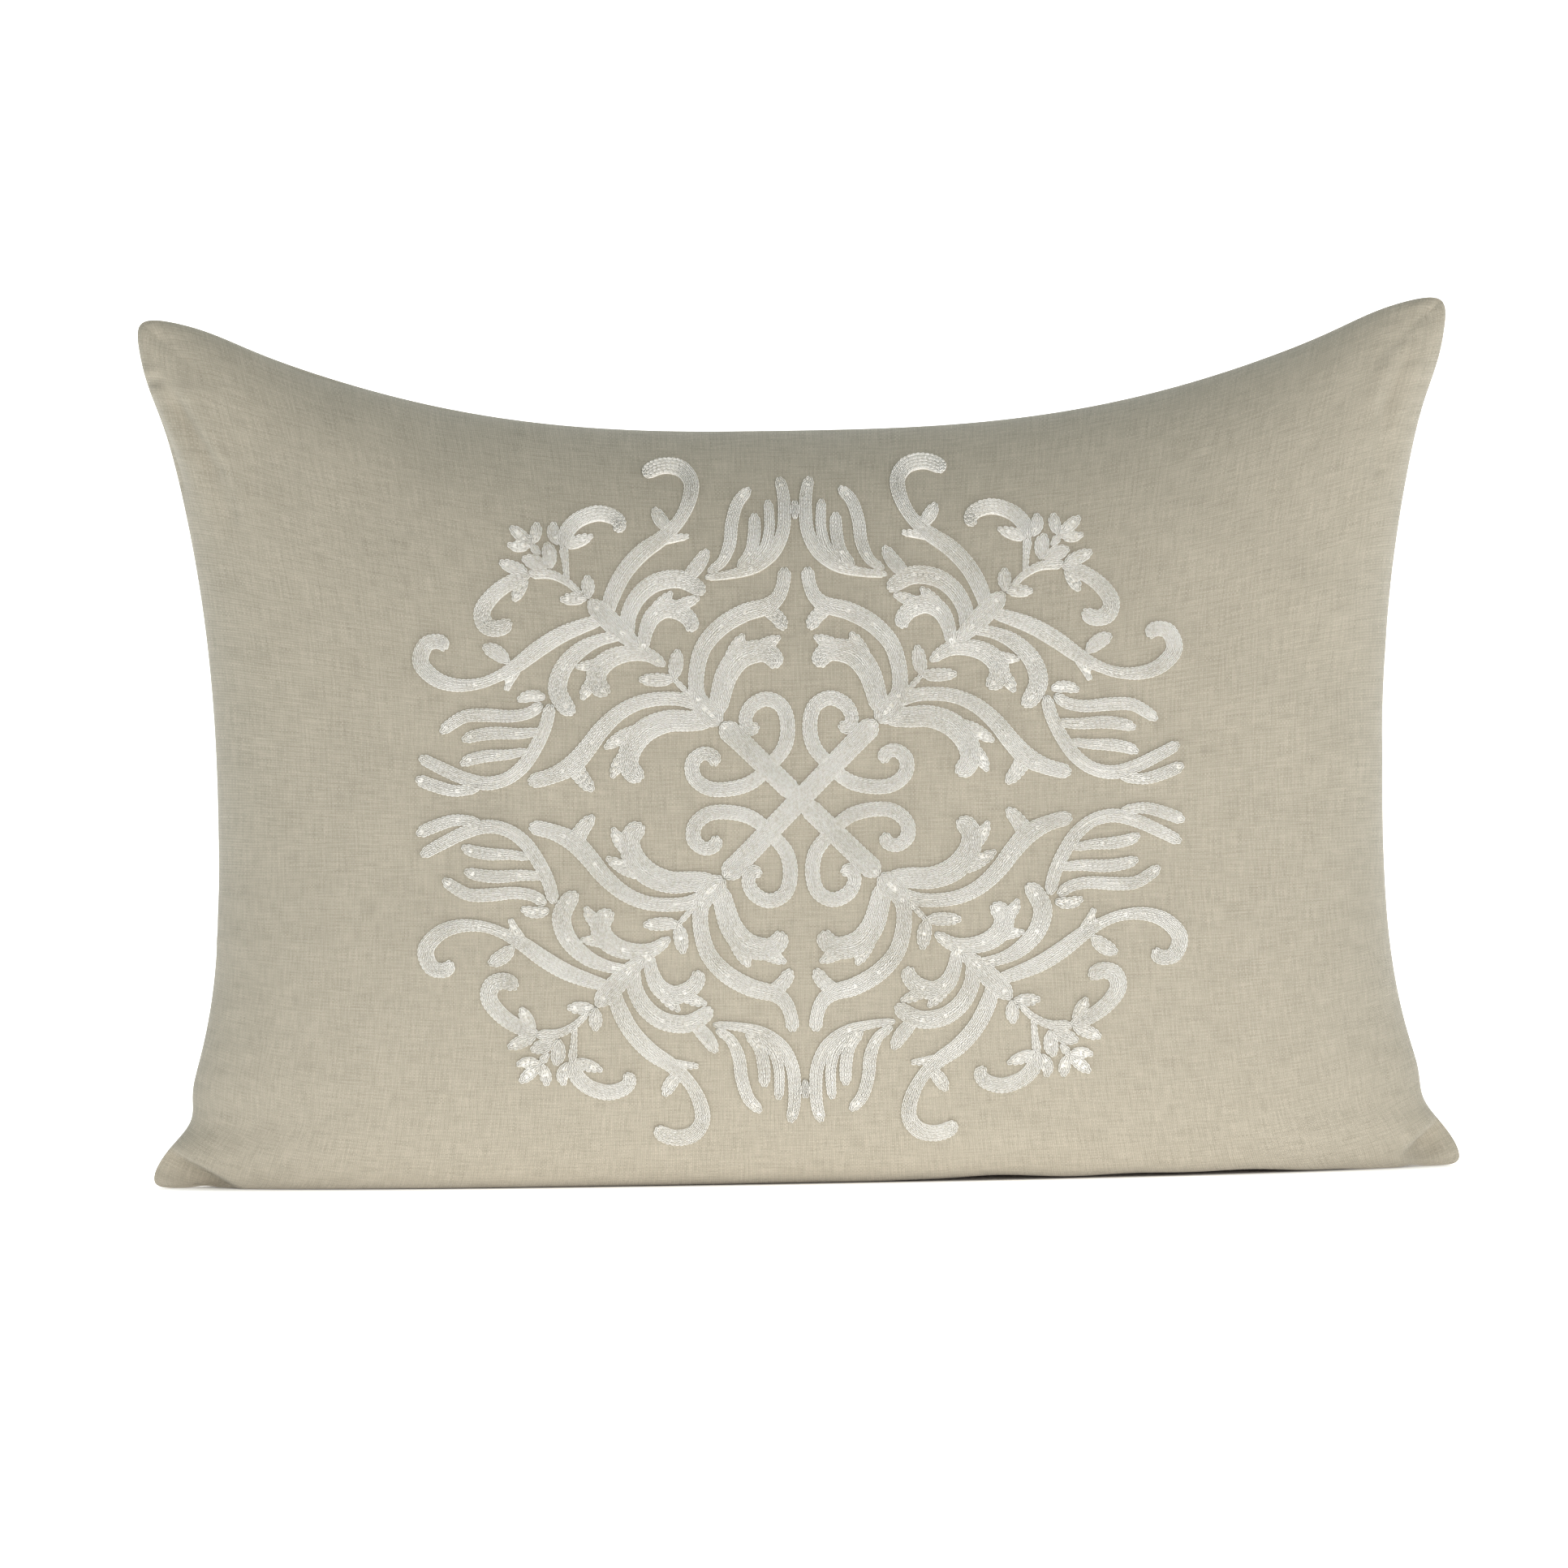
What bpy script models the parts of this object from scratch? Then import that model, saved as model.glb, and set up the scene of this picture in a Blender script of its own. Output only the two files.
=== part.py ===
"""Lumbar throw pillow: a linen cover with an embroidered medallion, a stuffed insert, and a zip in
the bottom seam.

Metres, +Z up. The pillow stands on its bottom seam, front towards -Y, and the origin is on the
floor under its middle. Every layer comes from one form: a square of (u, v) laid over the front or
the back, u across and v up, both from -1 to 1.
"""

import math

import bmesh
import bpy

# Overall form
WIDTH = 0.504  # corner to corner, before the corners are rounded
HEIGHT = 0.332  # top corners above the floor, before rounding
THICKNESS = 0.164  # front of the embroidery to the crown of the back
EAR_REACH = 0.0313  # how far each corner stands out past the waist
EAR_RISE = 0.049  # how far the top corners stand above the middle of the top seam
WAIST = 0.140  # height of the narrowest line
BEND_BELOW = 3.0  # power of the side's curve under the waist: higher keeps the ear shorter
BEND_ABOVE = 2.2
BEND_TOP = 2.8
ROUND_TOP = 1.4  # rounds the top seam over at its two ears
BELLY = 0.118  # height of the thickest line
SAG = 0.0245  # how far the filling is pressed flat by the floor
PRESS_ROUND = 0.005  # softness of the edge of the pressed strip
CORNER_ROUND = 60  # power of the corner: higher is sharper
SWELL_ACROSS = 2.4  # powers of the swell from the seam to the belly: higher is fuller near the seam
SWELL_UP = 2.2
SWELL_RISE = 0.62
SAG_SPREAD = 6  # power of the sag across the width: higher keeps it level nearer the corners
SLIT_SPREAD = 8  # power that draws the slit's opening down to the bottom seam
FOLD_FADE = 0.014  # height over which the fold over the zip fades out
FOLD_FULL = 0.5  # share of that height below which the fold is whole

# Cloth and clearances
CLOTH = 0.0008
TICKING = 0.0005
BACKING = 0.0004
THREAD_RISE = 0.0008  # how far the stitching stands up
GAP = 0.0003
FACET_ROOM = 0.0004  # room for the flats of one layer inside the curve of the next
INSERT_INSET = 0.014  # insert's own seam inside the cover's seam
INSERT_STRIP = 0.005  # width of the seam that closes the insert
INSERT_GROOVE = 0.0060  # the insert's fold over the zip, past the cover's own
INSERT_GROOVE_HALF = 0.006
FILL_LIFT = 1.4  # the filling clears the ticking by this many times its depth where the floor presses

# Seam and zip
SEAM_STRIP = 0.010  # width of the overlocked seam allowance
SEAM_THICK = 0.0013
BOTTOM_STRIP = 0.014  # closed stretch of the bottom seam past each end of the zip
BOTTOM_STRIP_RISE = 0.0036
ZIP_CELLS = 5  # the zip ends on this line of the panel's cells, and its slit closes by the next
ZIP_SLIT = 0.006  # between the folded edges over the zip
GROOVE_DEPTH = 0.008
GROOVE_HALF = 0.011
TAPE_WIDTH = 0.012
TAPE_THICK = 0.0006
COIL_WIDTH = 0.0017
COIL_THICK = 0.0014
COIL_SLIT = 0.0014  # between the two coils, for the slider's neck
SLIDER_LENGTH = 0.011
SLIDER_WIDTH = 0.007
SLIDER_FOOT = 0.0052  # width of the outer plate, between the folded edges
SLIDER_PLATE = 0.0011
SLIDER_NECK = 0.0008
BRIDGE_LENGTH = 0.0064
BRIDGE_WIDTH = 0.0016
BRIDGE_RISE = 0.0026
BRIDGE_BAR = 0.0008
LEG_INSET = GAP / 6  # the bridge's legs stand this far inside its bar
PIN_RADIUS = 0.0005
TAB_LENGTH = 0.020
TAB_WIDTH = 0.005
TAB_THICK = 0.0010
TAB_EYE = 0.0042  # hinge to the far end of the tab's eye
NECK_FROM = 0.2  # the neck's ends, in half lengths of the slider
NECK_TO = 0.8
STOP_LENGTH = 0.003
TACK_LENGTH = 0.002
TACK_THICK = 0.0009
TAPE_EDGE = 0.0012  # middle of the zip to the tape's inner edge
TAPE_PAST = 0.005  # tape past the end of the zip
STITCH_RADIUS = 0.0004
STITCH_Y = 0.007  # middle of the zip to the topstitching
STITCH_LEAN = 0.80  # cosine of the groove's slope at the topstitching

# Embroidery
MEDALLION_MARGIN = 0.0146  # medallion to the top seam and to the floor
MEDALLION_HALF = 0.131  # half height of the medallion as drawn
MEDALLION_RAISE = 0.0015  # medallion's middle above half the height of the middle seam
MM = 0.001
BACKING_ACROSS = (-5, 5)  # cells of the front that the backing covers
BACKING_UP = (-5, 6)

# Labels
LABEL_THICK = 0.0004

CROWN = HEIGHT - EAR_RISE
FRONT_DEPTH = THICKNESS / 2 - GAP - THREAD_RISE
BACK_DEPTH = THICKNESS / 2
RIM = CLOTH + GAP / 2
UNDER_CLOTH = CLOTH + GAP + FACET_ROOM
UNDER_BACKING = UNDER_CLOTH + BACKING + GAP + FACET_ROOM
DEPTH_TRIES = 12  # the search for (u, v) under a point of the front settles well before this
MERGE = 1e-6  # points this near are one
STEPS = 18  # cells across and up every layer, so that their flats lie parallel


def cell_line(cell):
    """The u or v of a line of cells, counted from the middle. The cells narrow towards the seam,
    where the form turns fastest."""
    return math.sin(cell / (STEPS / 2) * math.pi / 2)


ZIP_HALF = WIDTH / 2 * cell_line(ZIP_CELLS)
SLIT_END = WIDTH / 2 * cell_line(ZIP_CELLS + 1)


# ---------------------------------------------------------------- scene

for old in list(bpy.data.objects):
    bpy.data.objects.remove(old, do_unlink=True)


def collection(name):
    """A new collection in the scene."""
    made = bpy.data.collections.new(name)
    bpy.context.scene.collection.children.link(made)
    return made


PILLOW = collection("throw_pillow")
CUTTERS = collection("cutters")


def material(name, colour, roughness, metallic=0.0):
    """A Principled material of one finish."""
    made = bpy.data.materials.new(name)
    made.use_nodes = True
    shader = made.node_tree.nodes["Principled BSDF"]
    shader.inputs["Base Color"].default_value = (*colour, 1.0)
    shader.inputs["Roughness"].default_value = roughness
    shader.inputs["Metallic"].default_value = metallic
    return made


LINEN = material("natural_linen", (0.50, 0.45, 0.36), 0.92)
THREAD = material("ivory_chain_stitch", (0.75, 0.71, 0.60), 0.80)
STABILISER = material("stabiliser_backing", (0.80, 0.80, 0.78), 0.90)
TICKING_CLOTH = material("insert_ticking", (0.82, 0.81, 0.78), 0.88)
FILLING = material("fibre_filling", (0.86, 0.85, 0.82), 0.95)
SEWING = material("sewing_thread", (0.55, 0.49, 0.39), 0.75)
TAPE = material("zip_tape", (0.47, 0.42, 0.34), 0.85)
NYLON = material("zip_coil_nylon", (0.50, 0.45, 0.36), 0.45)
METAL = material("zip_slider_zinc", (0.42, 0.38, 0.32), 0.35, 1.0)
SATIN = material("label_satin", (0.85, 0.84, 0.80), 0.55)


# ---------------------------------------------------------------- form


class Layer:
    """One skin of the pillow: depth is how far it lies under the cover's outer face, inset how far
    its seam lies inside the cover's seam, and rim the half gap that it keeps at its own seam."""

    def __init__(self, depth=0.0, inset=0.0, rim=RIM, floor=None, groove=0.0, groove_half=0.0, slit=0.0):
        self.depth = depth
        self.inset = inset
        self.rim = rim
        self.floor = depth if floor is None else floor
        self.groove = GROOVE_DEPTH + groove
        self.groove_half = GROOVE_HALF + groove_half
        self.slit = slit

    def half_width(self, height):
        """Half the width of the seam line at a height of the side."""
        if height < WAIST:
            out = (1 - height / WAIST) ** BEND_BELOW
        else:
            out = ((height - WAIST) / (HEIGHT - WAIST)) ** BEND_ABOVE
        return WIDTH / 2 - self.inset - EAR_REACH * (1 - out)

    def top(self, u):
        """Height of the top seam."""
        return HEIGHT - self.inset - EAR_RISE * (1 - abs(u) ** BEND_TOP) ** ROUND_TOP

    def reach_down(self, u):
        """How far the form reaches below the belly before the floor presses on it."""
        return BELLY + (SAG - self.depth) * (1 - abs(u) ** SAG_SPREAD)

    def natural(self, u, v):
        """Height of (u, v) before the floor presses on it."""
        return BELLY + (self.top(u) - BELLY if v >= 0 else self.reach_down(u)) * v


def blunt(u, v):
    """(u, v) drawn in at the corners, so that the seam turns them in a small round."""
    reach = max(abs(u), abs(v))
    if reach < MERGE:
        return u, v
    pull = ((abs(u) / reach) ** CORNER_ROUND + (abs(v) / reach) ** CORNER_ROUND) ** (-1 / CORNER_ROUND)
    return u * pull, v * pull


def plump(u, v):
    """Share of the full depth at (u, v): 1 at the belly and 0 all along the seam."""
    across = max(0.0, 1 - abs(u) ** SWELL_ACROSS) ** 0.5
    up = max(0.0, 1 - abs(v) ** SWELL_UP) ** SWELL_RISE
    return across * up


def pressed(height, floor):
    """A height that the floor stops, with a short round where it lands."""
    over = height - floor
    if over > PRESS_ROUND:
        return height
    if over < -PRESS_ROUND:
        return floor
    return floor + (over + PRESS_ROUND) ** 2 / (4 * PRESS_ROUND)


def hollow(y, half):
    """The groove over the zip: 1 at the seam and 0 from half a groove out."""
    return max(0.0, 1 - abs(y) / half)


def slit_share(x):
    """How open the slit over the zip is at x: 1 along the zip, 0 past it."""
    return min(1.0, max(0.0, (SLIT_END - abs(x)) / (SLIT_END - ZIP_HALF)))


def skin(layer, u, v, front):
    """The point of a layer at (u, v), on the front or on the back."""
    swell = plump(u, v)
    u, v = blunt(u, v)
    full = (FRONT_DEPTH if front else BACK_DEPTH) - layer.depth
    x = u * layer.half_width(layer.natural(1.0, v))
    rim = layer.rim
    if v < 0:
        rim += max(0.0, layer.slit / 2 * slit_share(x) - rim) * abs(v) ** SLIT_SPREAD
    y = rim + (full - rim) * swell
    natural = layer.natural(u, v)
    lifted = layer.groove * hollow(y, layer.groove_half)
    near_floor = min(1.0, max(0.0, 1 + FOLD_FULL - natural / FOLD_FADE))
    z = pressed(natural, layer.floor) + lifted * near_floor
    return (x, -y if front else y, z)


def depth_at(layer, x, z):
    """How far the front of a layer stands out at (x, z)."""
    u, v = 0.0, 0.0
    for _ in range(DEPTH_TRIES):
        v = (z - BELLY) / (layer.top(u) - BELLY if z >= BELLY else layer.reach_down(u))
        v = max(-1.0, min(1.0, v))
        u = max(-1.0, min(1.0, x / layer.half_width(layer.natural(1.0, v))))
    return layer.rim + (FRONT_DEPTH - layer.depth - layer.rim) * plump(u, v)


# ---------------------------------------------------------------- shared shapes


def adopt(obj, name, finish, home=PILLOW):
    """Names an object, gives it its finish and files it."""
    obj.name = name
    obj.data.name = name
    obj.data.materials.clear()
    obj.data.materials.append(finish)
    for owner in list(obj.users_collection):
        owner.objects.unlink(obj)
    home.objects.link(obj)
    if obj.type == "MESH":
        obj.data.shade_smooth()
        obj.data.set_sharp_from_angle(angle=math.radians(40))
    return obj


def solidify(obj, thickness, offset=-1.0):
    """Gives an open surface its wall."""
    wall = obj.modifiers.new("wall", "SOLIDIFY")
    wall.thickness = thickness
    wall.offset = offset
    return obj


def grid(across, up):
    """A flat square grid from -1 to 1."""
    bpy.ops.mesh.primitive_grid_add(x_subdivisions=across, y_subdivisions=up, size=2)
    return bpy.context.active_object


def cloth(layer, front, across=(-STEPS // 2, STEPS // 2), up=(-STEPS // 2, STEPS // 2)):
    """An open sheet over the front or the back of a layer, or over some of its cells, counted from
    the middle."""
    obj = grid(across[1] - across[0], up[1] - up[0])
    for vertex in obj.data.vertices:
        u, v = (
            cell_line(low + (high - low) * (at + 1) / 2)
            for at, (low, high) in zip(vertex.co, (across, up))
        )
        vertex.co = skin(layer, u, v, front)
    if not front:
        obj.data.flip_normals()
    return obj


def box(name, low, high, finish, home=PILLOW):
    """A block between two corners."""
    bpy.ops.mesh.primitive_cube_add(size=1)
    obj = bpy.context.active_object
    for vertex in obj.data.vertices:
        vertex.co = [
            (a + b) / 2 + c * (b - a) for a, b, c in zip(low, high, vertex.co)
        ]
    return adopt(obj, name, finish, home)


def part(name, low, high):
    """A metal block that is joined to others or cut from them."""
    return box(name, low, high, METAL, CUTTERS)


def joined(name, pieces, finish):
    """One solid from overlapping ones."""
    first, rest = pieces[0], pieces[1:]
    for piece in rest:
        union = first.modifiers.new("join", "BOOLEAN")
        union.operation = "UNION"
        union.solver = "MANIFOLD"
        union.object = piece
    bpy.context.view_layer.update()
    graph = bpy.context.evaluated_depsgraph_get()
    mesh = bpy.data.meshes.new_from_object(first.evaluated_get(graph))
    for piece in pieces:
        bpy.data.objects.remove(piece, do_unlink=True)
    return adopt(bpy.data.objects.new(name, mesh), name, finish)


def as_mesh(obj):
    """A curve made a mesh, with its caps welded."""
    bpy.context.view_layer.update()
    graph = bpy.context.evaluated_depsgraph_get()
    mesh = bpy.data.meshes.new_from_object(obj.evaluated_get(graph))
    shape = bmesh.new()
    shape.from_mesh(mesh)
    bmesh.ops.remove_doubles(shape, verts=shape.verts, dist=MERGE)
    bmesh.ops.recalc_face_normals(shape, faces=shape.faces)
    shape.to_mesh(mesh)
    shape.free()
    made = bpy.data.objects.new(obj.name, mesh)
    made.matrix_world = obj.matrix_world
    bpy.data.objects.remove(obj, do_unlink=True)
    return made


# ---------------------------------------------------------------- cover


def cover():
    """The two linen panels."""
    for name, front in (("cover_front_panel", True), ("cover_back_panel", False)):
        sheet = cloth(Layer(slit=ZIP_SLIT), front)
        solidify(adopt(sheet, name, LINEN), CLOTH)


def seam_strip(name, side, cells, inset=UNDER_CLOTH, wide=SEAM_STRIP, thick=SEAM_THICK):
    """A flat strip of sewn allowance inside the seam of one side, between two lines of cells."""
    obj = grid(cells[1] - cells[0], 1)
    outer = Layer(inset=inset)
    inner = Layer(inset=inset + wide)
    for vertex in obj.data.vertices:
        along = cell_line(cells[0] + (cells[1] - cells[0]) * (vertex.co.x + 1) / 2)
        u, v = (along, 1.0) if side == "top" else ((-1.0 if side == "left" else 1.0), along)
        layer = outer if vertex.co.y > 0 else inner
        x = u * layer.half_width(layer.natural(1.0, v))
        vertex.co = (x, 0.0, layer.natural(u, v))
    return solidify(adopt(obj, name, SEWING), thick, 0.0)


def seams():
    """Allowances along the top and the sides, clear of the corners."""
    seam_strip("seam_allowance_top", "top", (-6, 6))
    seam_strip("seam_allowance_left", "left", (-4, 5))
    seam_strip("seam_allowance_right", "right", (-4, 5))
    start = SLIT_END + GAP
    low = GROOVE_DEPTH * hollow(RIM, GROOVE_HALF) + CLOTH + GAP
    for name, side in (("seam_allowance_bottom_left", -1), ("seam_allowance_bottom_right", 1)):
        ends = sorted((side * start, side * (start + BOTTOM_STRIP)))
        box(
            name,
            (ends[0], -SEAM_THICK / 2, low),
            (ends[1], SEAM_THICK / 2, low + BOTTOM_STRIP_RISE),
            SEWING,
        )


# ---------------------------------------------------------------- embroidery

# Strokes of one quarter of the medallion, in millimetres from its middle, right and up. Each is
# (points, width at the start, width at the end). The other quarters mirror them.
HEART = (
    ([(9.5, 10.5), (4, 19), (1.8, 30), (7, 39.5), (15, 40), (21, 33), (19, 26), (15, 27)], 6.5, 6),
    ([(10.5, 9.5), (20, 4.5), (31.5, 3), (40, 8), (42, 15), (37, 20), (31.5, 17), (32, 13)], 6.5, 6),
)
SCROLLS = (
    ([(28.9, 28.9), (37, 37)], 9.5, 9.5),
    ([(34, 34), (37, 50), (33, 62), (23, 70), (12, 73), (5, 80), (3.6, 87)], 9, 6),
    ([(13, 73), (6, 69), (3.4, 64)], 7, 5),
    ([(34, 34), (54, 38.5), (70, 33), (79, 26.5), (86, 18), (96, 11), (103, 8.5)], 9, 6),
    ([(86, 18), (84, 10), (78.5, 5)], 7, 5),
    ([(33, 36), (28.5, 44), (24, 53), (16, 57.5), (9, 55), (7.5, 48.5)], 8, 7),
    ([(36, 33), (49, 32.5), (59, 29), (65, 21.5), (64, 12), (59.5, 8)], 8, 7),
    ([(35, 35), (46, 45), (56, 55), (68, 66.5)], 6, 8),
    ([(66, 64), (63, 74), (56, 82), (46, 85.5), (37, 85), (32, 79)], 8, 5),
    ([(64, 66), (76, 62.5), (88, 54.5), (91, 46), (85, 36)], 8, 5),
    ([(55, 56), (54, 67), (48, 75), (40, 73), (38.5, 65.5)], 7, 6),
    ([(54, 55), (63.5, 56.5), (72, 52), (76, 47), (72, 42.5)], 7, 6),
    ([(68, 66), (67.5, 81), (59, 92.5), (48.5, 101), (39, 112), (36, 121), (42, 128.5), (52, 127)], 8, 6),
    ([(67, 66), (86, 67), (98.5, 62), (108, 53.5), (119, 48.5), (132, 48), (142, 54), (141, 63)], 8, 6),
    ([(68, 66), (79, 78), (88, 87), (97, 97), (102, 102)], 4, 4),
    ([(85, 85), (86, 97), (83, 107), (75, 111.5), (66, 108)], 5, 5),
    ([(85, 86), (103, 88.5), (113, 84), (119.5, 76), (115, 68)], 5, 5),
)
PLUME_UP = (
    ([(29, 86.5), (20, 87), (11, 90), (4.5, 96), (1.5, 106), (1.0, 120)], 7, 5),
    ([(14, 89), (9, 98), (8, 108), (12, 113)], 6, 4),
    ([(22, 87), (19, 97), (18, 108), (22, 117)], 6, 4),
    ([(26, 86), (25, 97), (25.5, 108), (30, 121)], 6, 4),
)
PLUME_ASIDE = (
    ([(93.5, 34), (98, 27), (106, 17.5), (118.5, 9.5), (132, 3), (146, 1.0)], 7, 5),
    ([(99, 26), (112, 22), (124, 20), (140, 24)], 6, 4),
    ([(96, 30), (110, 31), (122, 32), (136, 37)], 6, 4),
    ([(107, 17), (120, 13), (132, 11), (145, 14)], 6, 4),
)
CROSS_REACH = 28.5
CROSS_WIDTH = 9.5


def medallion_point(across, up):
    """Millimetres from the medallion's middle, as a place on the front."""
    scale = (CROWN / 2 - MEDALLION_MARGIN) / MEDALLION_HALF
    return across * MM * scale, CROWN / 2 + MEDALLION_RAISE + up * MM * scale


def stroke(points, wide_start, wide_end, mirror, resolution=2):
    """One raised line of stitching: a four-sided tube laid flat on the front of the cover."""
    curve = bpy.data.curves.new("stroke", "CURVE")
    curve.dimensions = "3D"
    curve.resolution_u = resolution
    curve.bevel_depth = MM
    curve.bevel_resolution = 0
    curve.use_fill_caps = True
    curve.twist_mode = "Z_UP"
    spline = curve.splines.new("BEZIER")
    spline.bezier_points.add(len(points) - 1)
    last = len(points) - 1
    for index, (knot, (across, up)) in enumerate(zip(spline.bezier_points, points)):
        x, z = medallion_point(across * mirror[0], up * mirror[1])
        knot.co = (x, z, 0.0)
        knot.handle_left_type = "AUTO"
        knot.handle_right_type = "AUTO"
        wide = wide_start + (wide_end - wide_start) * index / last
        knot.radius = wide / 2
    obj = as_mesh(bpy.data.objects.new("stroke", curve))
    base = Layer(depth=-GAP, inset=-GAP)
    for vertex in obj.data.vertices:
        x, z, side = vertex.co
        lift = 0.5 + 0.5 * max(-1.0, min(1.0, side / (MM / 2)))
        vertex.co = (x, -depth_at(base, x, z) - THREAD_RISE * lift, z)
    shape = bmesh.new()
    shape.from_mesh(obj.data)
    bmesh.ops.recalc_face_normals(shape, faces=shape.faces)
    shape.to_mesh(obj.data)
    shape.free()
    CUTTERS.objects.link(obj)
    return obj


def embroidery():
    """The cross with its hearts, four scroll groups and four pairs of plumes."""
    corners = {"upper_right": (1, 1), "upper_left": (-1, 1), "lower_left": (-1, -1), "lower_right": (1, -1)}
    reach = CROSS_REACH
    centre = [
        stroke([(-reach, -reach * slope), (0, 0), (reach, reach * slope)],
               CROSS_WIDTH, CROSS_WIDTH, (1, 1))
        for slope in (1, -1)
    ]
    for mirror in corners.values():
        centre += [stroke(*line, mirror) for line in HEART]
    joined("embroidery_centre_cross", centre, THREAD)
    for corner, mirror in corners.items():
        joined(f"embroidery_scrolls_{corner}", [stroke(*line, mirror) for line in SCROLLS], THREAD)
    plumes = {
        "top": (PLUME_UP, ((1, 1), (-1, 1))),
        "bottom": (PLUME_UP, ((1, -1), (-1, -1))),
        "left": (PLUME_ASIDE, ((-1, 1), (-1, -1))),
        "right": (PLUME_ASIDE, ((1, 1), (1, -1))),
    }
    for side, (lines, mirrors) in plumes.items():
        strokes = [stroke(*line, mirror) for mirror in mirrors for line in lines]
        joined(f"embroidery_plumes_{side}", strokes, THREAD)


def backing():
    """The stabiliser left behind the stitching."""
    layer = Layer(depth=UNDER_CLOTH, inset=UNDER_CLOTH)
    sheet = cloth(layer, True, BACKING_ACROSS, BACKING_UP)
    solidify(adopt(sheet, "embroidery_backing", STABILISER), BACKING)


# ---------------------------------------------------------------- insert


def insert_layer(under=0.0, inset=0.0, rim=TICKING + GAP / 2):
    """A skin of the insert, so far under the insert's own outer face."""
    return Layer(
        depth=UNDER_BACKING + under,
        inset=INSERT_INSET + inset,
        rim=rim,
        floor=CLOTH + GAP + under * FILL_LIFT,
        groove=INSERT_GROOVE + under / 2,
        groove_half=INSERT_GROOVE_HALF + under,
    )


def insert():
    """Ticking front and back, the filling, and the seam that closes the ticking."""
    for name, front in (("insert_front_shell", True), ("insert_back_shell", False)):
        sheet = cloth(insert_layer(), front)
        solidify(adopt(sheet, name, TICKING_CLOTH), TICKING)
    under = TICKING + GAP + FACET_ROOM
    fill_layer = insert_layer(under, under + INSERT_STRIP + GAP, rim=0.0)
    halves = [cloth(fill_layer, front) for front in (True, False)]
    shape = bmesh.new()
    for half in halves:
        shape.from_mesh(half.data)
    bmesh.ops.remove_doubles(shape, verts=shape.verts, dist=MERGE)
    shape.to_mesh(halves[0].data)
    shape.free()
    bpy.data.objects.remove(halves[1], do_unlink=True)
    adopt(halves[0], "insert_filling", FILLING)
    inset = INSERT_INSET + TICKING + GAP
    seam_strip("insert_closing_seam", "top", (-2, 2), inset, INSERT_STRIP, TICKING)


# ---------------------------------------------------------------- zip


def tape_height(y):
    """Underside of the zip tape at y: over the panel and its folded allowance."""
    return GROOVE_DEPTH * hollow(y, GROOVE_HALF) + 2 * (CLOTH + GAP)


COIL_TOP = tape_height(COIL_SLIT / 2 + COIL_WIDTH) - GAP
COIL_LOW = COIL_TOP - COIL_THICK
TAPE_TOP = tape_height(TAPE_EDGE) + TAPE_THICK
SLIDER_TOP = TAPE_TOP + GAP + SLIDER_PLATE
SLIDER_LOW = COIL_LOW - GAP - SLIDER_PLATE
SLIDER_X = ZIP_HALF - STOP_LENGTH - GAP - SLIDER_LENGTH / 2
HINGE_Z = SLIDER_LOW - (BRIDGE_RISE - BRIDGE_BAR) / 2


def zip_tapes():
    """A tape and a coil on each side of the slit."""
    reach = ZIP_HALF + TAPE_PAST
    for name, side in (("front", -1), ("back", 1)):
        tape = grid(1, 10)
        for vertex in tape.data.vertices:
            y = TAPE_EDGE + TAPE_WIDTH * (vertex.co.y + 1) / 2
            vertex.co = (vertex.co.x * reach * side, side * y, tape_height(y))
        tape.data.flip_normals()
        solidify(adopt(tape, f"zip_tape_{name}", TAPE), TAPE_THICK)
        near, far = sorted((side * COIL_SLIT / 2, side * (COIL_SLIT / 2 + COIL_WIDTH)))
        end = ZIP_HALF - STOP_LENGTH - GAP
        box(f"zip_coil_{name}", (-end, near, COIL_LOW), (end, far, COIL_TOP), NYLON)


def zip_ends():
    """A stop at each end of the coils and a bar tack across the slit past it."""
    for name, side in (("zip_bottom_stop", -1), ("zip_top_stop", 1)):
        wide = COIL_SLIT / 2 + COIL_WIDTH
        ends = sorted((side * (ZIP_HALF - STOP_LENGTH), side * ZIP_HALF))
        box(name, (ends[0], -wide, COIL_LOW), (ends[1], wide, COIL_TOP), METAL)
    for name, side in (("bar_tack_left", -1), ("bar_tack_right", 1)):
        wide = ZIP_SLIT / 2 - GAP - FACET_ROOM
        ends = sorted((side * (ZIP_HALF + GAP), side * (ZIP_HALF + GAP + TACK_LENGTH)))
        box(
            name,
            (ends[0], -wide, COIL_LOW - GAP - TACK_THICK),
            (ends[1], wide, COIL_LOW - GAP),
            SEWING,
        )


def topstitching():
    """The row of stitches that holds each tape under its folded edge."""
    for name, side in (("front", -1), ("back", 1)):
        curve = bpy.data.curves.new("row", "CURVE")
        curve.dimensions = "3D"
        curve.bevel_depth = STITCH_RADIUS
        curve.bevel_resolution = 1
        curve.use_fill_caps = True
        spline = curve.splines.new("POLY")
        spline.points.add(1)
        under = (STITCH_RADIUS + GAP) / STITCH_LEAN
        height = GROOVE_DEPTH * hollow(STITCH_Y, GROOVE_HALF) - under
        for point, end in zip(spline.points, (-1, 1)):
            point.co = (end * ZIP_HALF, side * STITCH_Y, height, 1.0)
        row = as_mesh(bpy.data.objects.new("row", curve))
        adopt(row, f"zip_topstitch_{name}", SEWING)


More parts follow.
